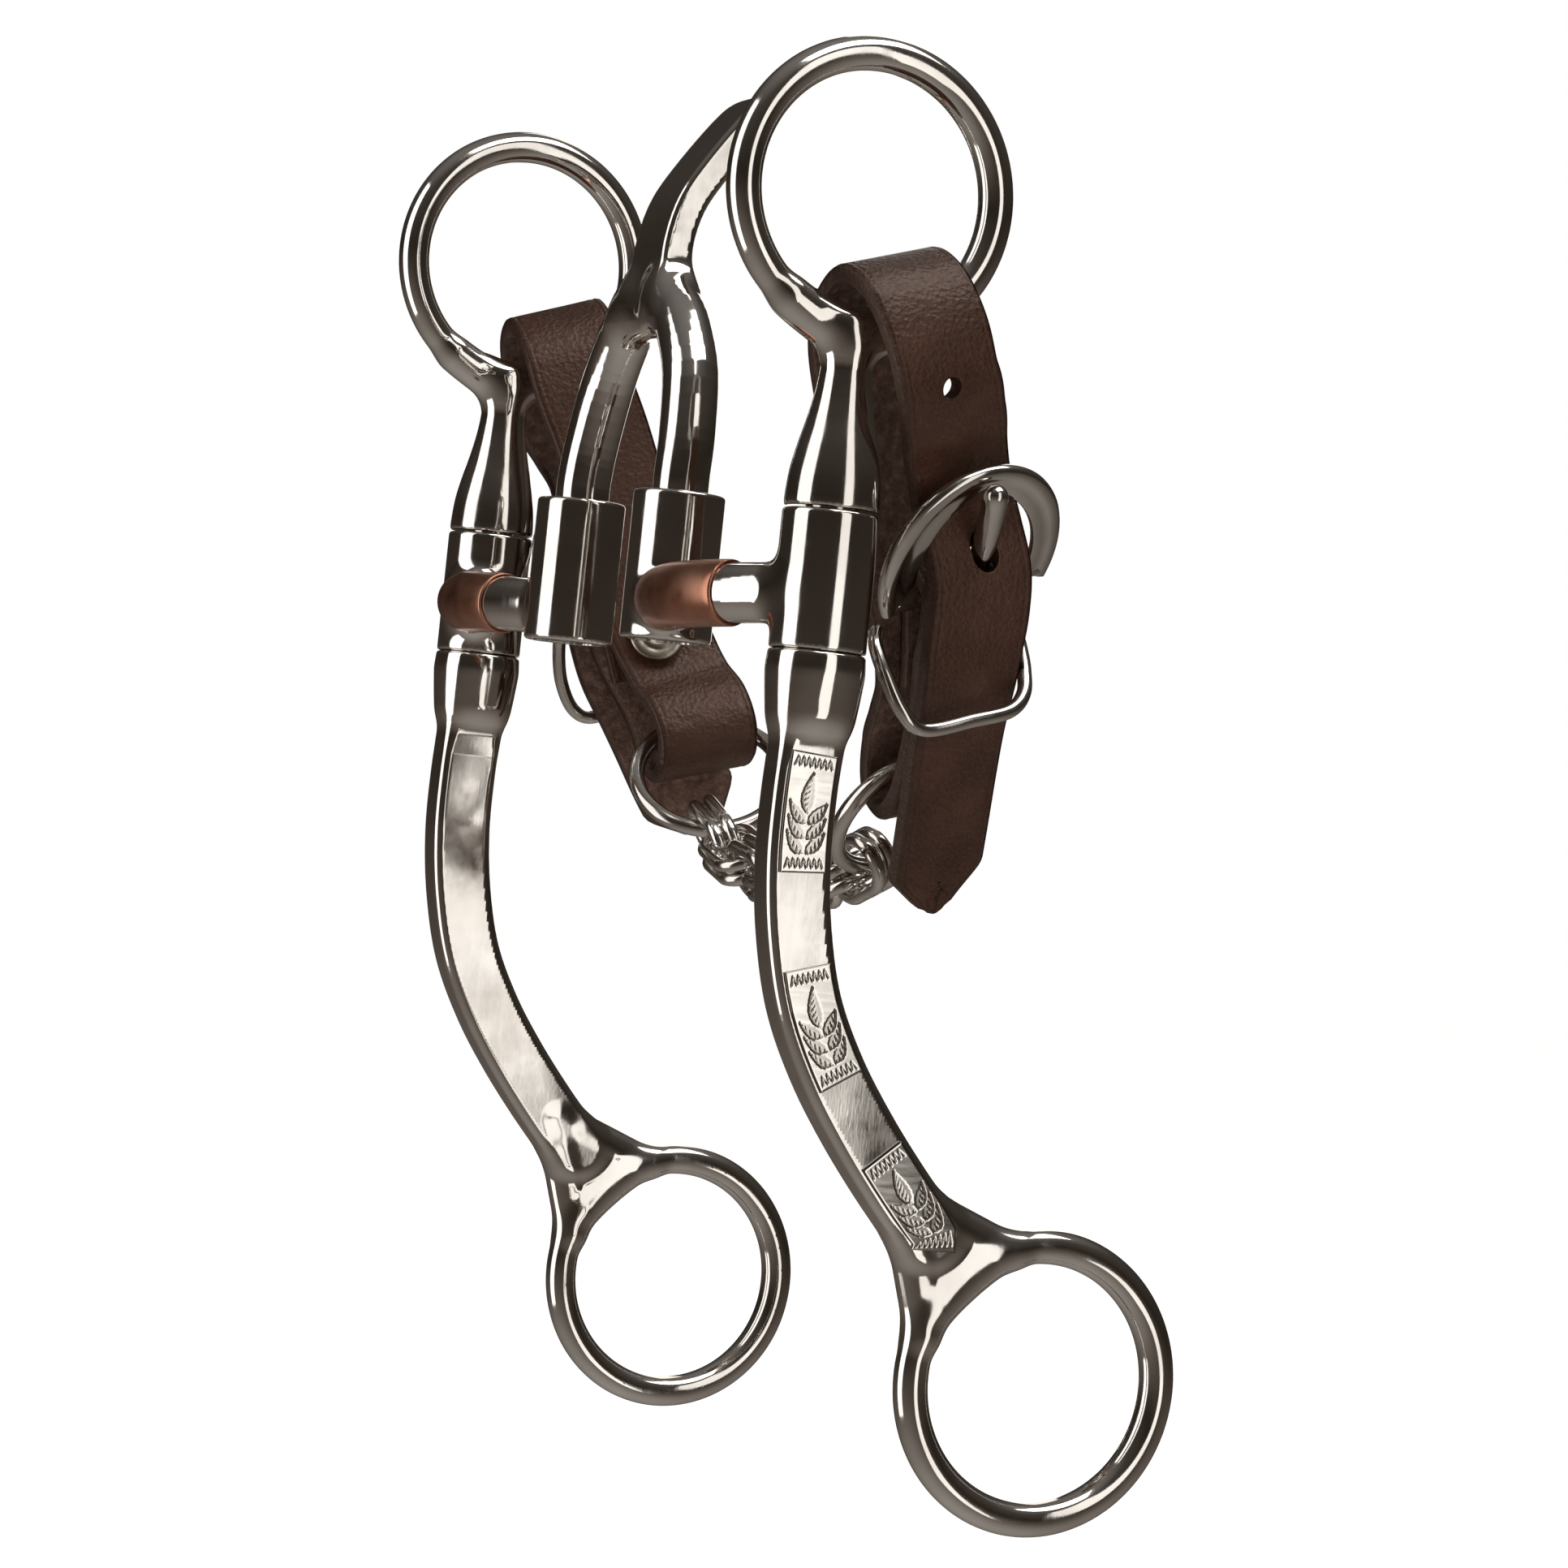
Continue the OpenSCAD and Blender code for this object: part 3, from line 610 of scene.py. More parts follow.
def leather_material():
    """The strap's attributes say where it is rough flesh, cut edge, tooled crease and tight bend."""
    m, s, inputs = surface("bridle_leather", (0.06, 0.03, 0.02), 0.5, 0.0)
    flesh = s.attribute("flesh")
    fine = s.noise(1500, 4, rough=0.7)
    grain_tone = s.ramp(s.noise(95, 5, rough=0.6),
                        [(0.30, (0.026, 0.0090, 0.0045)), (0.52, (0.038, 0.0138, 0.0070)),
                         (0.75, (0.058, 0.0220, 0.0120))])
    grain_tone = s.mixed(s.mapped(fine, 0.4, 0.7, 0, 0.30), grain_tone, (0.080, 0.033, 0.019))
    fibres = s.noise(620, 6, rough=0.75)
    flesh_tone = s.ramp(fibres, [(0.32, (0.060, 0.028, 0.019)), (0.5, (0.125, 0.070, 0.050)),
                                 (0.68, (0.215, 0.135, 0.102))])
    tone = s.mixed(flesh, grain_tone, flesh_tone)
    tone = s.mixed(s.times(s.attribute("edge"), 0.6), tone, (0.016, 0.0075, 0.005))
    tone = s.mixed(s.times(s.attribute("crease"), 0.22), tone, (0.014, 0.006, 0.004))
    s.feed(inputs["Base Color"], tone)
    s.feed(inputs["Roughness"], s.plus(s.mapped(fine, 0.3, 0.7, 0.30, 0.46), s.times(flesh, 0.4)))
    s.feed(inputs["Specular IOR Level"], 0.6)
    s.feed(inputs["Specular Tint"], (1, 0.77, 0.64))
    skin = s.plus(s.times(s.cells(1250), 0.55), s.times(s.noise(1900, 4, rough=0.65), 0.7))
    wrinkle = s.noise(330, 4, stretch=(1, 0.35, 1.6))
    folds = s.times(wrinkle, s.plus(s.times(s.attribute("bend"), 1.6), 0.35))
    rough_side = s.times(fibres, s.times(flesh, 2.4))
    s.feed(inputs["Normal"], s.bumped(s.plus(s.plus(skin, folds), rough_side), 0.7, 0.00026))
    return m


def rivet_material():
    m, s, inputs = surface("dull_nickel", (0.5, 0.44, 0.36), 0.35)
    cloud = s.noise(420, 5, rough=0.65)
    tone = s.ramp(cloud, [(0.3, (0.20, 0.16, 0.125)), (0.5, (0.42, 0.37, 0.30)),
                          (0.7, (0.62, 0.57, 0.48))])
    s.feed(inputs["Base Color"], tone)
    s.feed(inputs["Roughness"], s.mapped(cloud, 0.3, 0.7, 0.45, 0.24))
    s.feed(inputs["Normal"], s.bumped(cloud, 0.2, 0.00015))
    return m


STEEL = steel_material("polished_steel", (0.80, 0.765, 0.72), (0.68, 0.64, 0.59), 0.055, 0.15, 0.035)
WIRE = steel_material("wire_steel", (0.76, 0.73, 0.69), (0.60, 0.56, 0.52), 0.09, 0.22, 0.03)
PLATE = plate_material()
COPPER = copper_material()
LEATHER = leather_material()
RIVET = rivet_material()


# ---------------------------------------------------------------- castings, pins and washers
def cast(name, field, lo, hi, x, body, node, sides=SIDES):
    """One casting for each side from a field in the box lo to hi, moved to x."""
    points, faces, normals = solid_mesh(field, lo, hi, STEP)
    for side, flip, _ in sides:
        make(name.format(side), points + [x, 0, 0], faces, body.format(side), STEEL,
             [node.format(side)], normals, flip)


cast("{}_cheek_casting", cheek_field, [-8, -22.5, 9.5], [8, 25, 79.5], CHEEK_X, "{}_cheek_piece", "{}_cheek")
cast("{}_shank_casting", shank_field, [-8, -8.5, -135.5], [8, 70, -9], CHEEK_X, "{}_cheek_piece", "{}_shank")
cast("{}_bar_casting", bar_field, [12, -18.5, -11.5], [78.8, 8.6, 15.2], 0, "{}_bar", "{}_mouth_bar")
cast("port_casting", port_field, [-26, -9, -8.5], [26, 16.5, 82], 0, "mouth_root", "port", SIDES[:1])

# The pins and the washers are seen as the CAD made them, so they only take the wire's steel
for node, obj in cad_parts.items():
    if node.endswith("pivot_pin") or node == "leg_retainers":
        obj.data.materials.clear()
        obj.data.materials.append(WIRE)


# ---------------------------------------------------------------- copper tubes
def copper_tube(side, flip):
    path = bar_point(np.linspace(4, 10, 37))
    t = directions(path)
    w = across(np.array([0, 0, 1.0]) + 0 * path, t)
    n = np.cross(t, w)
    a = 2 * np.pi * np.arange(48) / 48
    along = run(path)
    total = along[-1]
    inside, outside, edge = 4.42, 4.9, 0.35
    end = [(0.0, inside + 0.03)]
    for e in np.linspace(0, math.pi / 2, 5):
        end.append((edge * (1 - math.cos(e)), outside - edge + edge * math.sin(e)))
    profile = end + [(s, outside) for s in along[2:-2]] + [(total - s, r) for s, r in reversed(end)]
    profile += [(s, inside) for s in along[-3:2:-1]]
    rings = []
    for s, r in profile:
        ww, nn = unit(sampled(s, along, w)), unit(sampled(s, along, n))
        rings.append(sampled(s, along, path) + r * (np.outer(np.cos(a), ww) + np.outer(np.sin(a), nn)))
    v, f = loft(rings, loop=True)
    make(f"{side}_copper_tube", v, f, f"{side}_bar", COPPER, [f"{side}_copper_sleeve"],
         mirror=flip, sharp=50)


# ---------------------------------------------------------------- engraved plates
def near_segments(q, segs):
    best = np.full(len(q), 1e9)
    for a, b in segs:
        a, b = np.array(a, float), np.array(b, float)
        d = b - a
        t = np.clip(((q - a) @ d) / max(d @ d, 1e-9), 0, 1)
        best = np.minimum(best, np.linalg.norm(q - a - t[:, None] * d, axis=1))
    return best


def leaf_with_painted_shade(q, root, tip, width, ribs):
    """Depth of one chased leaf at the points q, which the plate's colour also reads as darkness: a blade of
    painted shade, darker on its lower half, a deep lower edge that is also a painted shadow, and slanting
    ribs.
    """
    root, tip = np.array(root, float), np.array(tip, float)
    ax = tip - root
    size = np.linalg.norm(ax)
    ax = ax / size
    low = np.array([-ax[1], ax[0]]) * (-1 if tip[1] > 0.5 else 1)
    t = (q - root) @ ax / size
    v = (q - root) @ low
    bow = np.sin(np.pi * np.clip(t, 0, 1) ** 0.7)
    v = v - 0.10 * width * bow
    half = 0.5 * width * bow * (1 - 0.10 * np.abs(np.sin(np.pi * ribs * t)))
    inside = np.clip((half - np.abs(v)) / 0.07, 0, 1) * (t > 0) * (t < 1)
    slant = np.abs(((t * ribs + 0.30 * v / width * ribs) % 1.0) - 0.5)
    rib = np.clip((0.17 - slant) / 0.08, 0, 1) * (v > -0.05 * width)
    edge = np.clip((0.15 - np.abs(v - half)) / 0.07, 0, 1) * (t > 0) * (t < 1)
    # The blade's 0.20 and the lower half's 0.16 are painted shade, and the lower edge's 0.95 is a painted
    # shadow. The surface is dented only by a tenth of the value, in mm.
    return np.maximum(inside * (0.20 + 0.42 * rib + 0.16 * (v > 0.12 * width)), edge * 0.95)


def engraving_with_painted_shade(q, length):
    """Depth and darkness of the pattern at the points q, along and across: engraved zigzag borders and a
    spray of leaves in painted shade, with painted shadows along their lower edges.
    """
    border = []
    for near, far in ((0.75, 2.0), (length - 2.0, length - 0.75)):
        zigzag = [(near if k % 2 else far, -2.9 + 5.8 * k / 14) for k in range(15)]
        border += list(zip(zigzag[:-1], zigzag[1:]))
    cut = 0.75 * np.clip((0.13 - near_segments(q, border)) / 0.09, 0, 1)
    margin = 2.6
    span = length - margin - margin
    cut = np.maximum(cut, leaf_with_painted_shade(q, (margin + span * 0.50, 0.0), (margin + 0.1, 0.3), 2.1, 7))
    for k in range(3):
        root = margin + span * (0.62 + 0.18 * k)
        for way in (1, -1):
            cut = np.maximum(cut, leaf_with_painted_shade(q, (root, 0.15 * way), (root - span * 0.26, 2.9 * way), 1.75, 5))
    return cut


def plate(side, flip, name, z_top, z_bottom):
    line = catmull(SHANK_ROUTE, 4)
    z = np.linspace(z_top, z_bottom, 7)
    middle = np.stack([np.interp(-z, -line[:, 1], line[:, 0]), z], 1)
    t = directions(middle)
    sideways = np.stack([-t[:, 1], t[:, 0]], 1)
    along = run(middle)
    total = along[-1]
    rows, columns = int(total / PLATE_PITCH) + 1, int(2 * PLATE_HALF_W / PLATE_PITCH) + 1
    s, u = np.meshgrid(np.linspace(0, total, rows), np.linspace(-PLATE_HALF_W, PLATE_HALF_W, columns),
                       indexing="ij")
    q = np.stack([s.ravel(), u.ravel()], 1)
    # cut is the engraving's depth and also its painted shade and shadow, which the material turns into
    # colour
    cut = engraving_with_painted_shade(q, total)
    from_edge = np.minimum(PLATE_HALF_W - np.abs(q[:, 1]), np.minimum(q[:, 0], total - q[:, 0]))
    rim = np.clip((0.22 - from_edge) / 0.16, 0, 1)
    rise = PLATE_RISE - 0.10 * cut - 0.12 * np.clip((0.25 - from_edge) / 0.25, 0, 1) ** 2
    yz = sampled(q[:, 0], along, middle) + q[:, 1:] * sampled(q[:, 0], along, sideways)
    top = np.column_stack([CHEEK_X + SHANK_HALF_T + rise, yz])
    grid = np.arange(rows * columns).reshape(rows, columns)
    faces = np.stack([grid[:-1, :-1], grid[:-1, 1:], grid[1:, 1:], grid[1:, :-1]], -1).reshape(-1, 4)
    faces = [tuple(f) for f in faces]
    # The sides go down from the outline into the shank, and the back is one flat face
    outline = [*grid[0, :], *grid[1:, -1], *grid[-1, -2::-1], *grid[-2:0:-1, 0]]
    skirt = top[outline].copy()
    skirt[:, 0] = CHEEK_X + SHANK_HALF_T - 0.1
    base, m = len(top), len(outline)
    for i in range(m):
        k = (i + 1) % m
        faces.append((outline[k], outline[i], base + i, base + k))
    faces.append(tuple(base + i for i in range(m)))
    if np.cross(top[grid[0, 1]] - top[grid[0, 0]], top[grid[1, 0]] - top[grid[0, 0]])[0] < 0:
        faces = [tuple(reversed(f)) for f in faces]
    attrs = {"cut": np.r_[cut, np.zeros(m)], "rim": np.r_[rim, np.ones(m)]}
    make(f"{side}_{name}_engraved", np.vstack([top, skirt]), faces, f"{side}_cheek_piece", PLATE,
         [f"{side}_{name}"], mirror=flip, attrs=attrs, sharp=60)


# ---------------------------------------------------------------- curb straps
# Each point is x, y, z, then the yaw and the tilt of the leather's width, in degrees
LEFT_STRAP = [
    [57.2, 27.4, -12.4, 8, 16], [57.4, 27, -7, 8, 16], [57.8, 26.4, -2, 6, 18], [58.3, 25.8, 2, 5, 20],
    [59.7, 25.1, 4.9, 5, 20], [62, 24.8, 6, 5, 20], [64.4, 25.1, 4.8, 5, 20], [65.3, 25.9, 2, 5, 20],
    [64.4, 26.4, -2.2, 6, 18], [62, 27, -7.4, 8, 16], [61, 27.6, -12.4, 8, 16], [58.6, 28.2, -17.4, 8, 16],
    [55.8, 28.9, -22, 8, 16], [52.6, 29.6, -26.4, 8, 16], [48, 30, -28.9, 8, 16], [43.8, 29.6, -27, 8, 16],
    [42.8, 28.8, -22.6, 8, 16], [45.4, 27.6, -18, 8, 16], [49.8, 26.2, -14.4, 8, 16],
    [53, 25.2, -10, 8, 16], [54.4, 22.8, -3, 8, 16], [56.2, 17.8, 8, 7, 15], [58.2, 12.6, 19, 6, 15],
    [60.2, 7.6, 30, 6, 16], [61.4, 5.4, 37, 6, 17], [64.2, 4.6, 42.8, 6, 18], [70.4, 4.8, 46.2, 6, 18],
    [76.2, 6.6, 43.4, 6, 18], [79, 9.4, 37, 6, 18], [78.8, 12.2, 30, 8, 18], [74.8, 15.6, 25, 8, 18],
    [70.4, 18.7, 20.6, 8, 18], [68.2, 21.1, 15.4, 6, 18], [68.3, 23, 10.4, 5, 18], [69, 24.8, 4.6, 5, 18],
    [68.8, 25.4, -0.6, 5, 17], [67.8, 25.6, -6, 5, 16], [65.8, 26.2, -12, 8, 16], [62, 27.2, -18.8, 10, 17],
    [58.2, 28.6, -25.2, 12, 17], [53.4, 30.4, -33.4, 12, 18], [50.6, 31.4, -38.2, 12, 18],
    [46.8, 32.8, -44.8, 12, 18]]
RIGHT_STRAP = [
    [56.6, 27.6, -10, 12, 20], [57, 25.8, -5, 12, 20], [57.5, 24.2, 0, 7, 20], [58, 22.9, 4, 6, 20],
    [59.2, 21.8, 7.2, 6, 20], [61.8, 21.3, 8.2, 6, 20], [64.2, 21.7, 6.9, 6, 20], [65.1, 22.6, 3.8, 6, 20],
    [64.4, 23.6, -0.4, 6, 20], [61.8, 25.4, -5.4, 8, 19], [60.4, 28, -10, 8, 18],
    [58.2, 30, -14, 8, 17], [55.4, 31.3, -18.3, 8, 17], [52.2, 32, -22.7, 8, 17],
    [47.6, 32.4, -25.2, 8, 17], [43.4, 32, -23.3, 8, 17], [42.4, 31.2, -18.9, 8, 17],
    [45, 30, -14.3, 8, 17], [49.4, 28.4, -10.7, 8, 17], [52.4, 26.6, -6.3, 8, 18],
    [53.8, 23.4, 0, 10, 18], [55.8, 20.4, 9, 8, 18], [57.6, 17.2, 18.6, 6, 18], [59.4, 13.8, 28, 6, 18],
    [61, 10.2, 36.2, 8, 19], [64, 8.2, 43.6, 8, 20], [70.6, 7.4, 48.3, 8, 20], [76.9, 8.8, 45.1, 8, 20],
    [79.2, 11.6, 37.6, 8, 20], [78.8, 14.2, 31.4, 8, 20], [74.8, 16, 27, 8, 20], [70.4, 17.6, 22.6, 8, 20],
    [67.5, 18.4, 17.4, 6, 20], [67.7, 19.8, 12.4, 6, 20], [68.9, 21, 6.6, 6, 20], [68.6, 21.8, 1.4, 6, 20],
    [67.4, 23.2, -4, 8, 22], [66.2, 25.3, -9.8, 9, 20], [63.4, 28, -15.6, 9, 18],
    [60, 30.4, -21.4, 9, 18], [56.2, 33.4, -28.4, 10, 22], [51.8, 37.4, -36, 12, 26]]


def width_ref(yaw, tilt):
    """Direction of the leather's width for a yaw and a tilt in degrees."""
    yaw, tilt = np.radians(yaw), np.radians(tilt)
    return np.stack([-np.sin(yaw), np.cos(yaw) * np.cos(tilt), np.sin(tilt)], -1)


def strap_width(to_tip):
    """Width at a distance from the tip, which is a blunt point."""
    width = 3.4 + 1.93 * to_tip
    if to_tip < 1.6:
        width = min(width, 2 * math.sqrt(max(to_tip * (5.0 - to_tip), 0.02)))
    return float(smin(STRAP_W, width, 2.2))


def strap_section(width):
    """Section points (u, v) with flags flesh, edge and crease. The grain side is at +v."""
    h, t = width / 2, STRAP_T / 2
    k = min(1.0, width / 9)
    grain = [(0.75, 0, 0), (1.05, 0, 0), (1.2, 0.03, 0.7), (1.38, 0.06, 1), (1.56, 0.03, 0.7),
             (1.75, 0, 0), (2.4, 0, 0), (3.6, 0, 0), (5.2, 0, 0), (6.8, 0, 0)]
    face = [(h - d * k, t - g * k, 0, 0.0 if d > 0.9 else 0.35, crease) for d, g, crease in grain]
    face_corner = [(h - 0.75 * k * (1 - math.sin(a)), t - 0.75 * k * (1 - math.cos(a)), 0, 0.7, 0)
                   for a in np.radians((70, 35))]
    wall = [(h, t * 0.35, 0.15, 1, 0), (h, -t * 0.45, 0.2, 1, 0)]
    back_corner = [(h - 0.4 * k * (1 - math.cos(a)), -t + 0.4 * k * (1 - math.sin(a)), 0.4, 0.8, 0)
                   for a in np.radians((20, 60))]
    flesh = [(h - d * k, -t, 1, 0, 0) for d in (0.6, 1.5, 3.4, 6.0)]
    right = wall + back_corner + flesh
    section = [(0, t, 0, 0, 0), *face[::-1], *face_corner, *right, (0, -t, 1, 0, 0)]
    section += [(-p[0], *p[1:]) for p in right[::-1] + face_corner[::-1] + face]
    return np.array(section)


def frame_matrix(centre, turns):
    m = Matrix.Translation(Vector(centre) * MM)
    for axis, degrees in turns:
        m = m @ Matrix.Rotation(math.radians(degrees), 4, axis)
    return m


# The left and the right strap's centres, in mm, and turns, in degrees
BAR_CENTRE = [(62, 25.9, 2.6), (61.75, 23.1, 4.8)]
HOLE_CENTRE = [(79, 12.4, 29), (79, 13.8, 32)]
RIVET_CENTRE = [(57.6, 26, -7.4), (57.2, 25.9, -5.6)]
RIVET_TURN = [(14, 17), (17, 14)]
# The tongue's line in the buckle's own axes: X out of the arch, Y along the bar, Z to the arch's top
TONGUE = [[1.6, 0, 1.8], [2.4, 0, 6], [3, 0, 12], [3.3, 0, 16.6], [3.3, 0, 20.6]]
TONGUE_LIFT = 5


def buckle_matrix(i, lift=0.0):
    return frame_matrix(BAR_CENTRE[i], [("Z", 5), ("X", 20), ("Y", 37 + lift)])


def rivet_matrix(i):
    turn_z, turn_y = RIVET_TURN[i]
    return frame_matrix(RIVET_CENTRE[i], [("Z", turn_z), ("Y", 90 + turn_y)])


def placed(v, m):
    r = np.array(m.to_3x3())
    return np.asarray(v) @ r.T + np.array(m.translation) / MM


def cylinder(r, length, axis):
    path = np.outer([-length / 2, length / 2], axis)
    ref = [0, 0, 1] if abs(axis[2]) < 0.5 else [1, 0, 0]
    return loft(wire_rings(path, ref, 2 * r, 32))


def strap_cutters(flip, i):
    """Cutters for the bar's slot, the tongue at rest and lifted, the rivet and the spare hole."""
    end = TONGUE[-1]
    line = catmull(TONGUE + [[end[0], 0, end[2] + 2]], 6)
    tongue = loft(wire_rings(line, [0, 1, 0], 4.4, 20))
    solids = [(cylinder(3.5, 3.8, (0, 1, 0)), buckle_matrix(i)),
              (tongue, buckle_matrix(i)),
              (tongue, buckle_matrix(i, TONGUE_LIFT)),
              (cylinder(2.3, 14, (0, 0, 1)), rivet_matrix(i)),
              (cylinder(1.6, 12, (0, 0, 1)), frame_matrix(HOLE_CENTRE[i], [("Z", 10), ("Y", 96)]))]
    return [plain_object("cutter", placed(v, m), f, flip) for (v, f), m in solids]


def cut_holes(ob, cutters):
    """Cut the cutters out of the object's mesh for good, and delete them."""
    for cutter in cutters:
        mod = ob.modifiers.new("hole", "BOOLEAN")
        mod.operation = "DIFFERENCE"
        mod.solver = "MANIFOLD"
        mod.object = cutter
    dg = bpy.context.evaluated_depsgraph_get()
    mesh = bpy.data.meshes.new_from_object(ob.evaluated_get(dg), preserve_all_data_layers=True,
                                           depsgraph=dg)
    ob.modifiers.clear()
    ob.data = mesh
    mesh.polygons.foreach_set("use_smooth", [True] * len(mesh.polygons))
    mesh.set_sharp_from_angle(angle=math.radians(48))
    for cutter in cutters:
        bpy.data.objects.remove(cutter)


def strap(side, flip, i):
    path = catmull((LEFT_STRAP, RIGHT_STRAP)[i], ROUTE_STEPS)
    centre = path[:, :3]
    t = directions(centre)
    w = across(width_ref(path[:, 3], path[:, 4]), t)
    n = np.cross(t, w)
    along = run(centre)
    bend = np.linalg.norm(np.gradient(t, along, axis=0), axis=1)
    bend = np.convolve(np.pad(bend, 6, mode="edge"), np.ones(13) / 13, mode="valid")
    rings, info = [], []
    for k, to_tip in enumerate(along[-1] - along):
        width = strap_width(max(to_tip, 0.02))
        section = strap_section(width)
        hollow = 0.006 * (1 - (section[:, 0] / max(width / 2, 0.1)) ** 2)
        rings.append(centre[k] + np.outer(section[:, 0], w[k]) + np.outer(section[:, 1] - hollow, n[k]))
        info.append(np.c_[section[:, 2:], np.full(len(section), min(1.0, bend[k] * 7))])
    v, f = loft(rings)
    attrs = dict(zip(("flesh", "edge", "crease", "bend"), np.concatenate(info).T))
    ob = make(f"{side}_leather_strap", v, f, f"{side}_strap", LEATHER, [f"{side}_curb_strap"],
              mirror=flip, attrs=attrs)
    cut_holes(ob, strap_cutters(flip, i))


# ---------------------------------------------------------------- buckles, tongues, keepers, rivets
def buckle(side, flip, i):
    """A horseshoe arch, round inside and a thin dished band outside, with a round bar across it."""
    half_w, height, foot, bar_half = 15.3, 16.6, 5, 13.4
    profile = [(1.1 - 1.1 * math.cos(a), 1.1 * math.sin(a)) for a in np.radians(24 * np.arange(-5, 6))]
    band = [(1.9, 0.78), (2.6, 0.68), (3.4, 0.58), (3.72, 0.45), (3.8, 0.2)]
    profile = np.array(profile + band + [(x, -y) for x, y in reversed(band)])
    rings = []
    low = math.degrees(math.asin(6.6 / height))
    for a in np.radians(np.linspace(-low, 180 + low, 85)):
        p = np.array([half_w * math.cos(a), foot + height * math.sin(a)])
        out = unit([math.cos(a) / half_w, math.sin(a) / height])
        grow = 1 + 0.42 * abs(math.cos(a)) ** 0.6
        reach = profile[:, 0] * np.where(profile[:, 0] > 1.2, grow, 1.0)
        dish = 0.24 * np.clip(reach - 1.1, 0, None) * abs(math.cos(a))
        rings.append(np.c_[profile[:, 1] + dish, p - np.outer(reach, out)])
    points, radii = rounded_ends([[0, y, 0] for y in (-bar_half, -7, 0, 7, bar_half)], BUCKLE_WIRE)
    bar = loft(wire_rings(points, [0, 0, 1], BUCKLE_WIRE, 28, radius=radii))
    v, f = joined([loft(rings), bar])
    make(f"{side}_buckle_frame", placed(v, buckle_matrix(i)), f, f"{side}_strap", WIRE,
         [f"{side}_buckle"], mirror=flip, sharp=55)


def tongue(side, flip, i):
    """A rolled eye on the bar and a round wire with a bullet point."""
    points, radii = rounded_ends(catmull(TONGUE, 10), 3.7, 8)
    radii = [min(r, 1.35 + 0.5 * min(1.0, s / 9)) for r, s in zip(radii, run(points))]
    rod = loft(wire_rings(points, [0, 1, 0], 3.7, 28, radius=radii))
    half = [(1.42, 1.0), (1.7, 1.3), (2.4, 1.4), (2.9, 1.15), (3.1, 0.6)]
    eye = revolved([(1.42, -1.0)] + half + [(r, -h) for r, h in reversed(half[1:])], 7.5, (0, 2, 1))
    v, f = joined([rod, eye])
    make(f"{side}_tongue_wire", placed(v, buckle_matrix(i)), f, f"{side}_tongue", WIRE,
         [f"{side}_buckle_tongue"], mirror=flip, sharp=55)


# The left and the right keeper's wire, from one open end to the other
KEEPER = [
    [[63.8, 12, -5], [66, 11, -7.8], [68.2, 12, -12], [69.6, 14.6, -17], [69.2, 18.6, -19.2],
     [68.8, 26.2, -17], [68.2, 32.2, -15], [66.6, 35, -12.2], [64.4, 35.8, -8.8], [62, 36.2, -6],
     [59.6, 36.4, -3.4]],
    [[63.8, 12, -3], [66, 12.6, -7.4], [68, 14.4, -13], [69, 17.4, -17.4], [68.6, 21, -18.4],
     [67.4, 27, -15.2], [67.4, 33.4, -10.6], [66.4, 36, -6.6], [63.6, 35.8, -1.6], [60.6, 34.8, 3]]]


def keeper(side, flip, i):
    points, radii = rounded_ends(catmull(KEEPER[i], 12), KEEPER_WIRE)
    v, f = loft(wire_rings(points, [1, 0, 0.3], KEEPER_WIRE, 20, radius=radii))
    make(f"{side}_keeper_wire", v, f, f"{side}_strap", WIRE, [f"{side}_keeper"], mirror=flip,
         sharp=60)


def rivet(side, flip, i):
    """A tube through both layers, set down over a washer with a rolled rim."""
    profile = [(1.5, 5.7), (1.62, 5.8), (2.1, 5.8), (2.2, 5.7), (2.2, -6.9), (4.3, -6.9), (4.68, -7.0),
               (4.75, -7.2), (4.66, -7.5), (4.4, -7.72), (3.9, -7.84), (3.3, -7.84), (3.02, -7.72),
               (2.85, -7.74), (2.6, -7.95), (2.2, -8.0), (1.8, -7.95), (1.55, -7.7), (1.5, -7.3)]
    v, f = revolved(profile, 6)
    make(f"{side}_rivet_washer", placed(v, rivet_matrix(i)), f, f"{side}_strap", RIVET,
         [f"{side}_strap_rivet"], mirror=flip, sharp=50)


# ---------------------------------------------------------------- end rings and chain
END_TOP = [[49.2, 33.6, -21.3], [48.8, 36, -17.6]]
END_DIR = unit([-0.6, -0.31, -0.74])


def end_ring(side, flip, i):
    w = across(width_ref(7.5, 18), END_DIR)
    centre = np.array(END_TOP[i]) + END_RADIUS * END_DIR
    a = np.radians(np.arange(0, 360, 5))
    path = centre + END_RADIUS * (np.outer(np.cos(a), END_DIR) + np.outer(np.sin(a), w))
    v, f = loft(wire_rings(path, np.cross(END_DIR, w), END_WIRE, 20, loop=True), loop=True)
    make(f"{side}_ring_wire", v, f, f"{side}_strap", WIRE, [f"{side}_end_ring"], mirror=flip)


CHAIN_LEFT, CHAIN_RIGHT = np.array([34.8, 27.8, -38.4]), np.array([-34.6, 30.2, -34.8])
CHAIN_SAG = 24
LINKS, LINK_PITCH = 7, 10.6


def chain_point(x):
    t = (x - CHAIN_RIGHT[0]) / (CHAIN_LEFT[0] - CHAIN_RIGHT[0])
    return (1 - t) * CHAIN_RIGHT + t * CHAIN_LEFT - np.array([0, 0, CHAIN_SAG * t * (1 - t)])


def chain_slope(x):
    return math.degrees(math.atan2(chain_point(x + 1)[2] - chain_point(x - 1)[2], 2))


def link_x(i):
    """Place of link i in x, stepped out from the middle link along the chain's curve."""
    from_middle = i - (LINKS + 1) // 2
    way = 1 if from_middle > 0 else -1
    x = 0.0
    for _ in range(abs(from_middle)):
        half_way = chain_slope(x + way * LINK_PITCH / 2)
        x = x + way * LINK_PITCH * math.cos(math.radians(half_way))
    return x


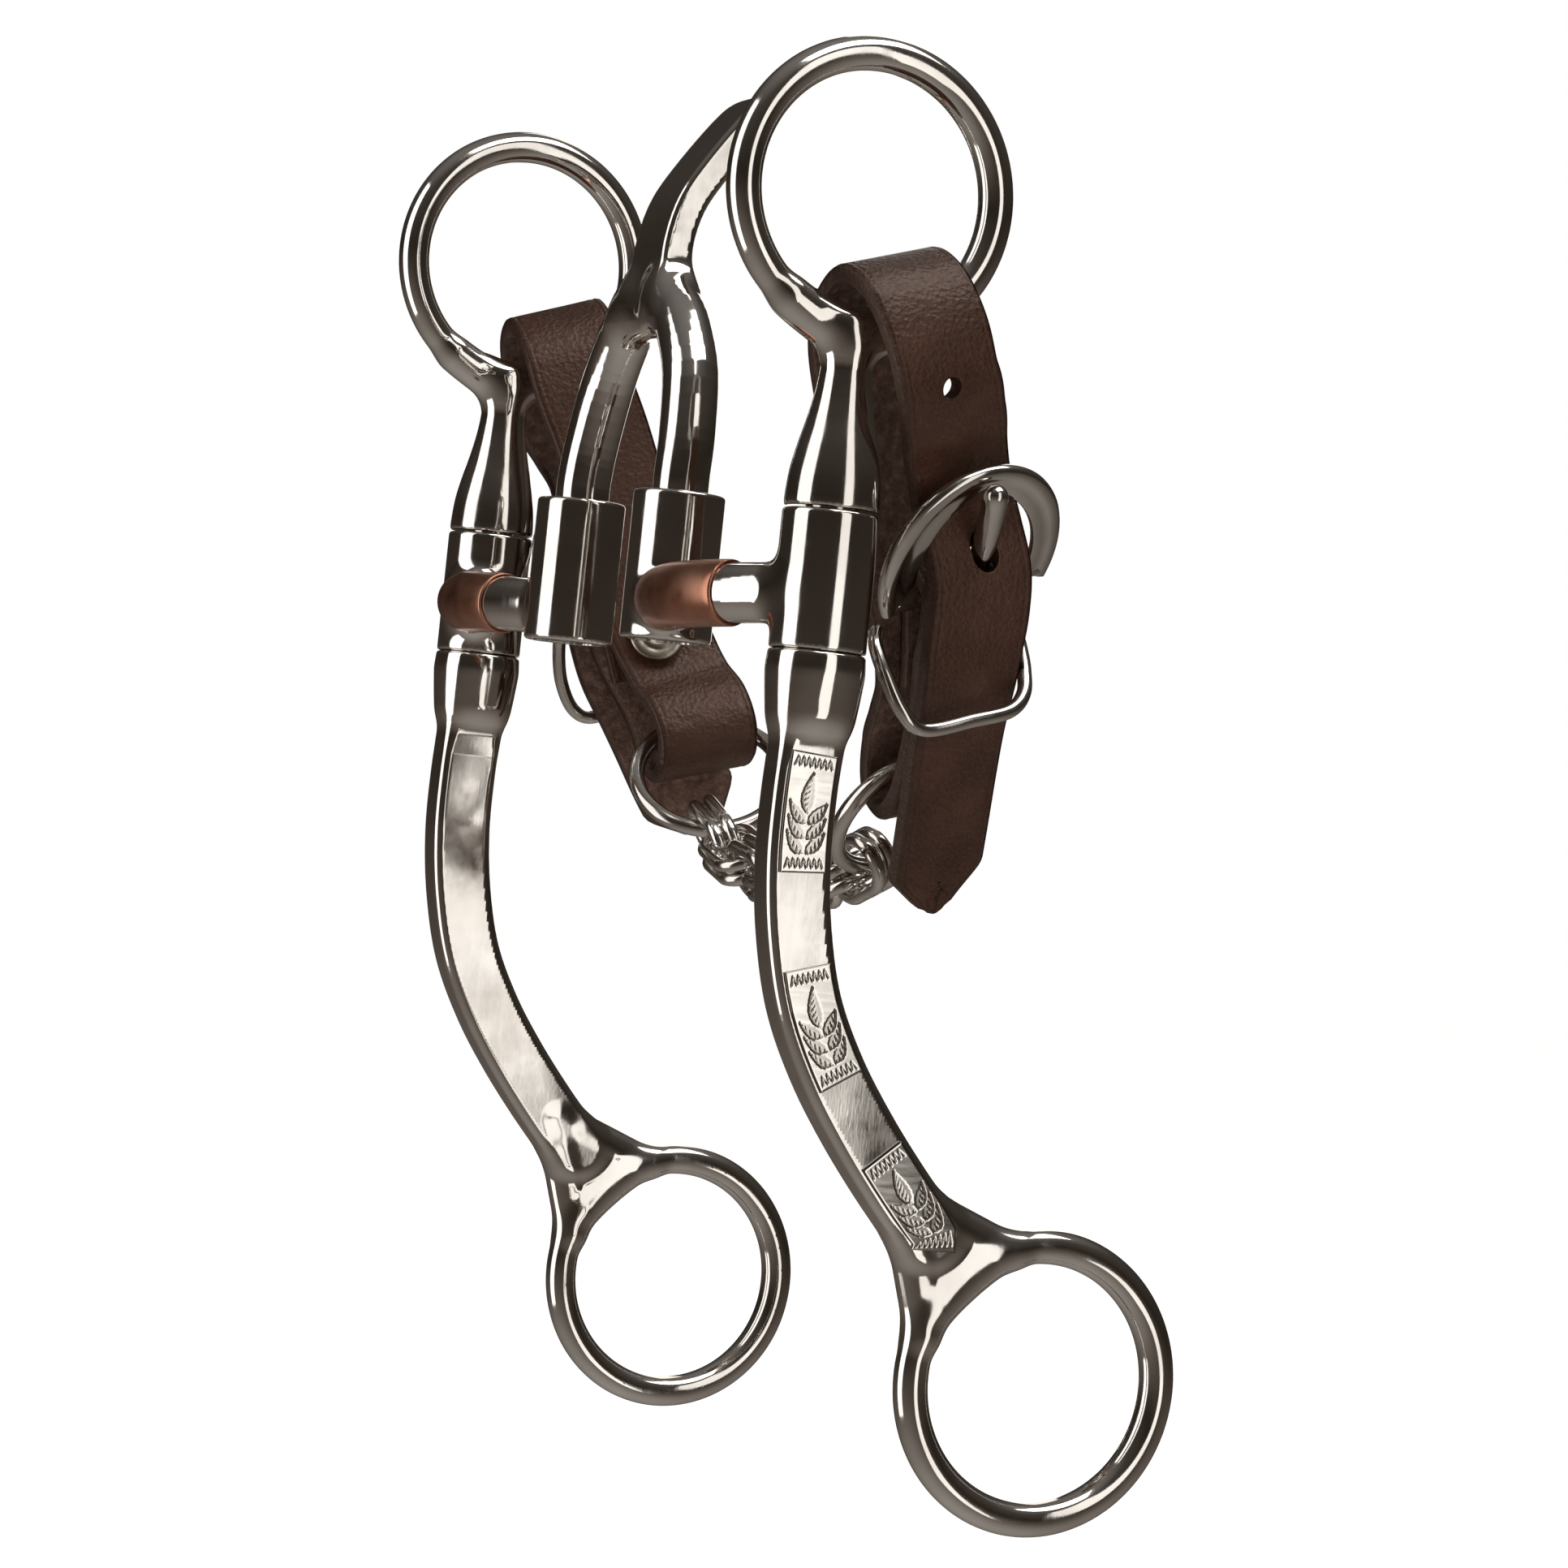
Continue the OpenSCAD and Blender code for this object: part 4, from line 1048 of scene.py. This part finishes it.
def link(i):
    """Two oval wires side by side, turned a quarter from the links next to it."""
    straight, bend, apart = 3.4, 4, 1.25
    a = np.radians(np.arange(-90, 91, 9))
    oval = np.concatenate([np.c_[straight + bend * np.cos(a), bend * np.sin(a), 0 * a],
                           np.c_[-straight - bend * np.cos(a), -bend * np.sin(a), 0 * a]])
    wires = []
    for z in (apart, -apart):
        wires.append(loft(wire_rings(oval + [0, 0, z], [0, 0, 1], LINK_WIRE, 14, loop=True), loop=True))
    v, f = joined(wires)
    x = link_x(i)
    turn = 30 if i % 2 == 0 else -60
    m = frame_matrix(chain_point(x), [("Z", -2), ("Y", -chain_slope(x)), ("X", turn)])
    make(f"chain_wire_{i}", placed(v, m), f, "chain", WIRE, [f"chain_link_{i}"])


for side, flip, _ in SIDES:
    copper_tube(side, flip)
for side, flip, _ in SIDES:
    plate(side, flip, "plate_upper", -24.5, -41.5)
    plate(side, flip, "plate_middle", -54.8, -70.4)
    plate(side, flip, "plate_lower", -80.4, -93.4)
for side, flip, i in SIDES:
    strap(side, flip, i)
for side, flip, i in SIDES:
    buckle(side, flip, i)
    tongue(side, flip, i)
    keeper(side, flip, i)
    rivet(side, flip, i)
    end_ring(side, flip, i)
for i in range(1, LINKS + 1):
    link(i)


# ---------------------------------------------------------------- floor, light and camera, in metres
AIM = Vector((0.0, 0.006, -0.03))


def floor():
    half, n = 6.0, 24
    x = np.linspace(-half, half, n)
    z = CAD_BOX[0][2] - 0.0006
    verts = [(a, b, z) for a in x for b in x]
    first = [i * n + j for i in range(n - 1) for j in range(n - 1)]
    mesh = bpy.data.meshes.new("floor")
    mesh.from_pydata(verts, [], [(k, k + n, k + n + 1, k + 1) for k in first])
    ob = bpy.data.objects.new("floor", mesh)
    bpy.context.scene.collection.objects.link(ob)
    m, s, inputs = surface("pale_floor", (0.3, 0.3, 0.3), 0.9, 0.0)
    s.feed(inputs["Emission Color"], (1, 1, 1))
    s.feed(inputs["Emission Strength"], 0.97)
    s.feed(inputs["Specular IOR Level"], 0.0)
    mesh.materials.append(m)
    ob.visible_glossy = False


def panel(name, azimuth, elevation, distance, width, height, radiance, colour=(1, 1, 1)):
    """A soft panel that faces the bit. Azimuth is measured from +X towards +Y."""
    a, e = math.radians(azimuth), math.radians(elevation)
    out = Vector((math.cos(a) * math.cos(e), math.sin(a) * math.cos(e), math.sin(e)))
    light = bpy.data.lights.new(name, "AREA")
    light.shape = "RECTANGLE"
    light.size, light.size_y = width, height
    light.energy = radiance * math.pi * width * height
    light.color = colour
    ob = bpy.data.objects.new(name, light)
    bpy.context.scene.collection.objects.link(ob)
    ob.location = AIM + out * distance
    ob.rotation_mode = "QUATERNION"
    ob.rotation_quaternion = out.to_track_quat("Z", "Y")
    ob.visible_camera = False


def studio():
    """White to the camera, and a dim warm room, lighter above and below, to everything else."""
    world = bpy.data.worlds.new("studio")
    bpy.context.scene.world = world
    world.use_nodes = True
    s = Shader(world.node_tree)
    s.nodes.clear()
    white = s.nodes.new("ShaderNodeBackground")
    s.feed(white.inputs["Color"], (1, 1, 1))
    split = s.nodes.new("ShaderNodeSeparateXYZ")
    s.feed(split.inputs["Vector"], s.nodes.new("ShaderNodeTexCoord").outputs["Generated"])
    tone = s.ramp(s.mapped(split.outputs["Z"], -1, 1, 0, 1),
                  [(0.0, (0.32, 0.30, 0.28)), (0.30, (0.13, 0.112, 0.098)), (0.48, (0.050, 0.040, 0.033)),
                   (0.56, (0.026, 0.020, 0.016)), (0.8, (0.060, 0.052, 0.046)), (1.0, (0.20, 0.19, 0.18))])
    room = s.nodes.new("ShaderNodeBackground")
    s.feed(room.inputs["Color"], tone)
    for background in (white, room):
        s.feed(background.inputs["Strength"], 1.0)
    mix = s.nodes.new("ShaderNodeMixShader")
    s.feed(mix.inputs["Fac"], s.nodes.new("ShaderNodeLightPath").outputs["Is Camera Ray"])
    s.feed(mix.inputs[1], room.outputs["Background"])
    s.feed(mix.inputs[2], white.outputs["Background"])
    s.feed(s.nodes.new("ShaderNodeOutputWorld").inputs["Surface"], mix.outputs["Shader"])


def camera(place, yaw, pitch, roll, lens):
    """A camera that looks along -X, turned by yaw, pitch and roll in degrees."""
    yaw, pitch, roll = math.radians(yaw), math.radians(pitch), math.radians(roll)
    ahead = Vector((-math.cos(yaw), math.sin(yaw), 0))
    level = Vector((math.sin(yaw), math.cos(yaw), 0))
    z = Vector((0, 0, 1))
    forward = ahead * math.cos(pitch) - z * math.sin(pitch)
    raised = z * math.cos(pitch) + ahead * math.sin(pitch)
    right = level * math.cos(roll) + raised * math.sin(roll)
    up = raised * math.cos(roll) - level * math.sin(roll)
    data = bpy.data.cameras.new("camera")
    data.sensor_width = 36
    data.lens = lens
    data.clip_start, data.clip_end = 0.01, 50
    ob = bpy.data.objects.new("camera", data)
    bpy.context.scene.collection.objects.link(ob)
    turn = Matrix((right, up, -forward)).transposed()
    ob.matrix_world = Matrix.Translation(place) @ turn.to_4x4()
    bpy.context.scene.camera = ob


floor()
panel("panel_left", -94, 8, 0.9, 0.62, 1.5, 1.6)
panel("panel_right", 13, 4, 1.15, 0.42, 1.6, 1.25, (1, 0.985, 0.96))
panel("panel_top", 30, 66, 1.1, 0.9, 0.5, 4.2)
panel("panel_back", 150, 20, 1.2, 0.35, 1.4, 1.3, (1, 0.97, 0.93))
studio()
camera((0.7199, -0.2847, -0.0443), yaw=23.45, pitch=-1.22, roll=5.93, lens=114.67)

bpy.context.scene.view_settings.view_transform = "Standard"
bpy.context.scene.view_settings.look = "None"
